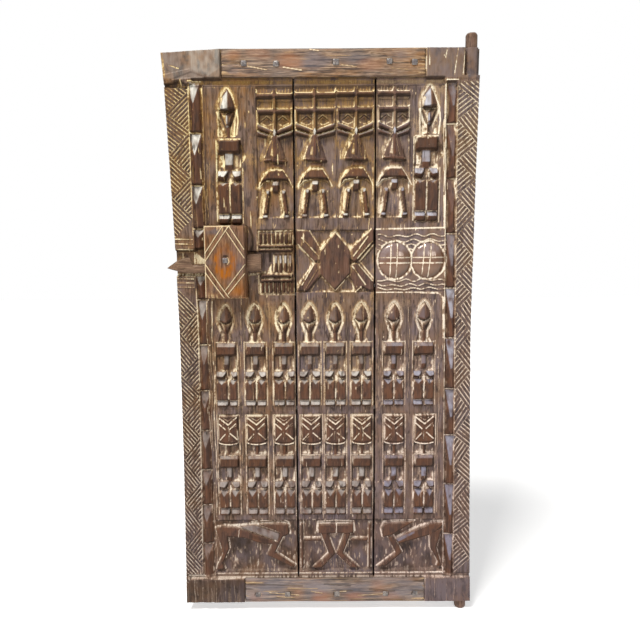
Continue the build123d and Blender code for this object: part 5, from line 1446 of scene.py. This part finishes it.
# A block rounded at its edges and a little pillowed, with the double-line lozenge cut in
def makeCase(plan):
    left, right, low, high, seed = (plan[key] for key in ("left", "right", "low", "high", "seed"))
    face = Carving(left, right, low, high, 1.2, plan["rise"], seed)
    edge = np.minimum.reduce([face.x - left, right - face.x, face.z - low, high - face.z])
    face.height -= 4.5 * (1 - soft(edge / 5)) + 1.0 * (1 - soft(edge / 26))
    shape = face.height.shape
    face.height -= 0.8 * np.clip(0.5 + roughness(shape, 14, 7, seed + 1), 0, 1)
    for a, b in plan["lines"]:
        face.groove([a, b], 1.6, 1.6, 1.0)
        # a painted shade line to the right of each cut line
        face.groove([(a[0] + 3.2, a[1]), (b[0] + 3.2, b[1])], 1.5, 0.9, 0.0, 0.75)
    # rust that ran from the nail: an upright ring, heaviest on its left and below, and one spot apart
    (nailX, nailZ), (ringWide, ringTall), (spotX, spotZ, spotWide,
            spotTall) = plan["nail"], plan["rustRing"], plan["rustSpot"]
    ringX, ringZ = (face.x - nailX) / ringWide, (face.z - nailZ) / ringTall
    away = np.hypot(ringX, ringZ) + 0.12 * roughness(shape, 5, 3, seed + 4)
    weight = ((0.88 - 0.18 * np.clip(ringX, -1, 1)) * (1 - 0.75 * soft(ringZ + 0.1))
              * (1 + 0.25 * roughness(shape, 4, 1.5, seed + 6)))
    weight = weight * (1 + 0.5 * roughness(shape, 2.2, 1.6, seed + 8))
    rust = (1.25 * np.exp(-((away - 0.98) / 0.34) ** 2) * weight
            + 0.55 * np.exp(-((face.x - spotX) / spotWide) ** 2 - ((face.z - spotZ) / spotTall) ** 2))
    face.masks["stain"] = np.clip(1.15 * rust, 0, 1)
    spots(face, plan["patches"], roughness(shape, 8, 4, seed + 5), 1.35, 0.45)
    face.lay("clay", 0.5 * soft((roughness(shape, 14, 0.8, seed + 7) - 1.0) / 0.5))
    # painted shadow beside the nail and a painted highlight ring to its right
    face.stroke("sootAndShade", [(-615, 932), (-609, 932)], 4.0, 1.0)
    face.rub([(-606, 928), (-603, 918), (-607, 912)], 1.8, 0.7)
    face.rub([(-663, 830), (-663, 1005), (-600, 1006)], 2.2, 0.75)
    # painted shade down the right edge
    face.stroke("sootAndShade", [(-563, 832), (-563, 1000)], 3.0, 0.35)
    return board("lockCase", face, slice(0, len(face.rowZ)), plan["back"], caseWood, ["lock_case"],
                 backWear=0.2)


# Points of stacked rings in metres, then the middle of each end
def ringPoints(rings):
    return np.concatenate([rings.reshape(-1, 3), rings[:1].mean(1), rings[-1:].mean(1)]) * metre


# Quads between neighbouring rings, and a fan of triangles round the middle of each end
def ringFaces(count, sides):
    around, rows = np.arange(sides), np.arange(count - 1)[:, None] * sides
    following = (around + 1) % sides
    quads = np.stack([rows + around, rows + following, rows + following + sides, rows + around + sides],
            -1).reshape(-1, 4)
    last, middle = (count - 1) * sides, count * sides
    triangles = np.concatenate([np.stack([following, around, np.full(sides, middle)], 1),
                                np.stack([around + last, following + last, np.full(sides, middle + 1)], 1)])
    return quads, triangles


# A closed body through rings of points
def ringBody(name, rings, material, body, cadNode, masks):
    rings = np.asarray(rings, float)
    points = ringPoints(rings)
    quads, triangles = ringFaces(*rings.shape[:2])
    made = makeMesh(name, points, quads, triangles, np.ones(len(quads) + len(triangles), bool), material,
                    {label: np.full(len(points), value) for label, value in masks.items()})
    made.data.shade_smooth()
    made.data.set_sharp_from_angle(angle=math.radians(32))
    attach(made, body)
    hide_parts(cadNode)
    return made


# outline: x, lower edge and upper edge from the tip to the tail. notches: their middles, in the back of the bolt
boltPlan = {
    "outline": [(-764, 902, 904), (-755, 899, 911), (-740, 895, 920.5), (-722, 891, 928.5), (-706, 889, 930),
                (-704, 889, 928), (-698, 889.5, 912), (-690, 890, 911), (-562, 890, 911), (-561.2, 890, 911),
                (-560.8, 893, 938), (-559, 893, 938), (-530, 893.5, 937.5), (-526.5, 895, 936)],
    "end": -526.2, "front": -34.0, "back": -10.0, "thinEnd": 34, "corner": 0.42, "inset": 0.3,
    "notches": (-679.5, -652.5, -625.5, -598.5), "notchHalf": 5.0, "notchFloor": -19.7, "notchTop": 894.3,
    "masks": {"clay": 0.12, "polish": 0.45}}


# Sections from the tip to the tail; each is a rounded rectangle, a power of the cosine and the sine
def makeBolt(plan):
    outline, inset = plan["outline"], plan["inset"]
    notches = [(x - plan["notchHalf"], x + plan["notchHalf"]) for x in plan["notches"]]
    steps = [edge + gap for notch in notches for edge in notch for gap in (-0.06, 0.06)]
    spans = [np.linspace(a[0], b[0], 8, endpoint=False) for a, b in zip(outline[:-1], outline[1:])]
    stations = np.sort(np.concatenate(spans + [[plan["end"]], steps]))
    xs, lows, highs = zip(*outline)
    low, high = np.interp(stations, xs, lows), np.interp(stations, xs, highs)
    thin = soft((stations + 766) / plan["thinEnd"])
    turn = fullTurn(48)
    wide = np.sign(np.cos(turn)) * np.abs(np.cos(turn)) ** plan["corner"]
    tall = np.sign(np.sin(turn)) * np.abs(np.sin(turn)) ** plan["corner"]
    bumps = roughness((len(stations), len(turn)), 5, 1.2, 81) * 0.35
    rings = []
    for i, x in enumerate(stations):
        midZ, halfZ = (low[i] + high[i]) / 2, (high[i] - low[i]) / 2
        midY = (plan["front"] + plan["back"]) / 2 + 2 * (1 - thin[i])
        halfY = (plan["back"] - plan["front"]) / 2 * (0.35 + 0.65 * thin[i])
        z = midZ + (halfZ - inset) * tall + np.minimum(0, bumps[i]) * tall
        y = midY - (halfY - inset) * wide - np.minimum(0, bumps[i]) * wide
        if any(a < x < b for a, b in notches):
            back = (y > -22.5) & (z > plan["notchTop"])
            y = np.where(back & (y < plan["notchFloor"]), plan["notchFloor"], y)
            z = np.where(back, plan["notchTop"], z)
        rings.append(np.stack([np.full(len(turn), x), y, z], -1))
    return ringBody("lockBolt", rings, boltWood, "bolt", "lock_bolt", plan["masks"])


# head: share of the radius and of the rise, from under the head to its crown. shank: how far in, and its thickness
nailPlan = {"head": ((0.36, -0.3), (0.4, 0.0), (0.95, 0.05), (1.0, 0.35), (0.8, 0.8), (0.45, 1.0)),
            "shankHalf": 4.6, "point": 8, "shareAtPoint": 0.05, "share": 0.5, "inHead": 2.0, "lean": 0.9}


# A hand-forged head, a squarish dome, battered and tipped to one side, on a square shank that runs into the wood
def nailRings(x, z, size, rise, seat, length, lean, seed):
    turn = fullTurn(24)
    across, up = np.cos(turn), np.sin(turn)
    widest = np.maximum(np.abs(across), np.abs(up))
    dents = np.random.default_rng(seed).uniform(-0.07, 0.07, len(turn))
    rings = []
    for along, share in ((length, nailPlan["shareAtPoint"]), (length - nailPlan["point"], nailPlan["share"]),
                         (nailPlan["inHead"], nailPlan["share"])):
        r = nailPlan["shankHalf"] * share * (1 / widest)
        rings.append(np.stack([x + r * across, np.full(len(turn), along - seat), z + r * up], -1))
    for radius, lift in nailPlan["head"]:
        r = size / 2 * radius * (1 / widest ** 0.75) * (1 + dents)
        y = -(lift * rise + lean * across * radius) - seat
        rings.append(np.stack([x + r * across, y, z + r * up], -1))
    return np.array(rings)


# Several nails in one piece
def makeNails(name, cadNode, places, size, rise, seat, length, seed):
    points, quads, triangles = [], [], []
    offset = 0
    for i, (x, z) in enumerate(places):
        rings = nailRings(x, z, size * (0.95 + 0.1 * ((i * 7) % 3) / 2), rise, seat, length,
                          nailPlan["lean"] * (1 if i % 2 else -1), seed + i)
        between, fans = ringFaces(*rings.shape[:2])
        points.append(ringPoints(rings))
        quads.append(between + offset)
        triangles.append(fans + offset)
        offset += len(points[-1])
    quads, triangles = np.concatenate(quads), np.concatenate(triangles)
    smooth = np.ones(len(quads) + len(triangles), bool)
    made = makeMesh(name, np.concatenate(points), quads, triangles, smooth, iron)
    made.data.set_sharp_from_angle(angle=math.radians(38))
    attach(made, "door")
    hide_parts(cadNode)
    return made


makeCase(casePlan)
makeBolt(boltPlan)
makeNails("topNails", "top_rail_nails", topRailPlan["nails"], size=14.5, rise=3.2, seat=21.6, length=33, seed=91)
makeNails("bottomNails", "bottom_rail_nails", bottomRailPlan["nails"], size=14.5, rise=2.4, seat=21.4, length=33,
          seed=97)
makeNails("lockNail", "lock_nail", [casePlan["nail"]], size=13.5, rise=3.0, seat=56.4, length=60, seed=99)
print("lock and nails made")


pivotPlan = {
    "topPivot": {"low": planksTop - 20, "high": planksTop + 38, "radius": 15.25, "seed": 103},
    "bottomPivot": {"low": -26, "high": 20, "radius": 16.0, "seed": 107},
    "facets": 9, "masks": {"polish": 0.35, "clay": 0.1, "pale": 0.0, "sootAndShade": 0.0}}


# A round stub whittled to nine soft facets, its ends rounded over
def makePivot(name, low, high, radius, seed):
    turn = fullTurn(56)
    heights = np.linspace(low, high, 34)
    knife = roughness((len(heights), len(turn)), 6, 2.0, seed)
    half = np.pi / pivotPlan["facets"]
    facets = np.cos(half) / np.cos((turn % (2 * half)) - half)
    rings = []
    for i, z in enumerate(heights):
        end = min(abs(z - low), abs(high - z))
        r = ((radius - 0.2) * (0.55 + 0.45 * facets) - 0.5 * np.clip(knife[i] + 0.5, 0, 1)
             - 2.2 * (1 - float(soft(end / 4))))
        rings.append(np.stack([r * np.cos(turn), r * np.sin(turn), np.full(len(turn), z)], -1))
    return ringBody(name, rings, hingeWood, "door", "right_plank", pivotPlan["masks"])


for label in ("topPivot", "bottomPivot"):
    makePivot(label, **pivotPlan[label])

# the ties in the seams and the pegs inside the lock are plain enough to stay as they come
for label, finish in (("left_seam_ties", iron), ("right_seam_ties", iron),
                      ("tumbler_1", pegWood), ("tumbler_2", pegWood), ("tumbler_3", pegWood)):
    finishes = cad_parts[label].data.materials
    finishes.clear()
    finishes.append(finish)
print("pivots, ties and pegs made")


# 1 for rays that show the background: straight from the camera, mirrored or through glass
def seenRays(tree):
    paths = node(tree, "ShaderNodeLightPath")
    return calc(tree, "MAXIMUM", paths.outputs["Is Camera Ray"],
                calc(tree, "MAXIMUM", paths.outputs["Is Glossy Ray"], paths.outputs["Is Transmission Ray"]))


floorPlan = {"reach": 12.0, "height": -0.0262, "colours": ("#fbfbfa", "#ffffff"), "rough": 0.8,
             "middle": -0.37, "glow": 0.3, "nearGlow": 0.5, "near": 0.9, "far": 2.4}


# A pale floor that glows to white away from the door and keeps its shadow
def makeFloor(plan):
    mesh = bpy.data.meshes.new("floor")
    reach, z = plan["reach"], plan["height"]
    mesh.from_pydata([(-reach, -reach, z), (reach, -reach, z), (reach, reach, z), (-reach, reach, z)], [],
            [(0, 1, 2, 3)])
    floor = bpy.data.objects.new("floor", mesh)
    scene.collection.objects.link(floor)
    material = bpy.data.materials.new("floorPaint")
    material.use_nodes = True
    tree = material.node_tree
    shader = tree.nodes["Principled BSDF"]
    place = node(tree, "ShaderNodeTexCoord").outputs["Object"]
    first, second = (tint(code) for code in plan["colours"])
    tree.links.new(blend(tree, remap(tree, noise(tree, place, 2.0), 0.3, 0.7), first, second),
                   shader.inputs["Base Color"])
    shader.inputs["Roughness"].default_value = plan["rough"]
    shader.inputs["Emission Color"].default_value = (1, 1, 1, 1)
    away = node(tree, "ShaderNodeVectorMath", {0: place}, {1: (-plan["middle"], 0.0, 0.0)}, operation="ADD")
    away = node(tree, "ShaderNodeVectorMath", {0: away.outputs[0]}, operation="LENGTH").outputs["Value"]
    far = remap(tree, away, plan["near"], plan["far"], plan["nearGlow"], 1.0)
    seen = calc(tree, "MULTIPLY", seenRays(tree), calc(tree, "SUBTRACT", far, plan["glow"]))
    tree.links.new(calc(tree, "ADD", plan["glow"], seen), shader.inputs["Emission Strength"])
    mesh.materials.append(material)


lampPlan = {
    "overhead": {"place": (-1.9, -2.3, 5.0), "size": (1.6, 1.2), "power": 272.0, "colour": (1.0, 0.985, 0.96)},
    "frontFill": {"place": (1.25, -3.8, 1.95), "size": (1.3, 1.1), "power": 34.0, "colour": (0.95, 0.97, 1.0)}}
lampTarget = (-0.37, 0.0, 0.7)
skyLevel = {"lighting": 0.13, "seen": 1.0}


def areaLight(name, place, size, power, colour):
    data = bpy.data.lights.new(name, "AREA")
    data.shape = "RECTANGLE"
    data.size, data.size_y = size
    data.energy = power
    data.color = colour
    lamp = bpy.data.objects.new(name, data)
    scene.collection.objects.link(lamp)
    lamp.location = place
    lamp.rotation_euler = (Vector(lampTarget) - Vector(place)).to_track_quat("-Z", "Y").to_euler()


makeFloor(floorPlan)
for name, lamp in lampPlan.items():
    areaLight(name, **lamp)
world = bpy.data.worlds.new("world")
scene.world = world
world.use_nodes = True
sky = world.node_tree
shown = sky.nodes["Background"]
shown.inputs["Color"].default_value = (1, 1, 1, 1)
level = remap(sky, seenRays(sky), 0.0, 1.0, skyLevel["lighting"], skyLevel["seen"])
sky.links.new(level, shown.inputs["Strength"])
print("stage made")
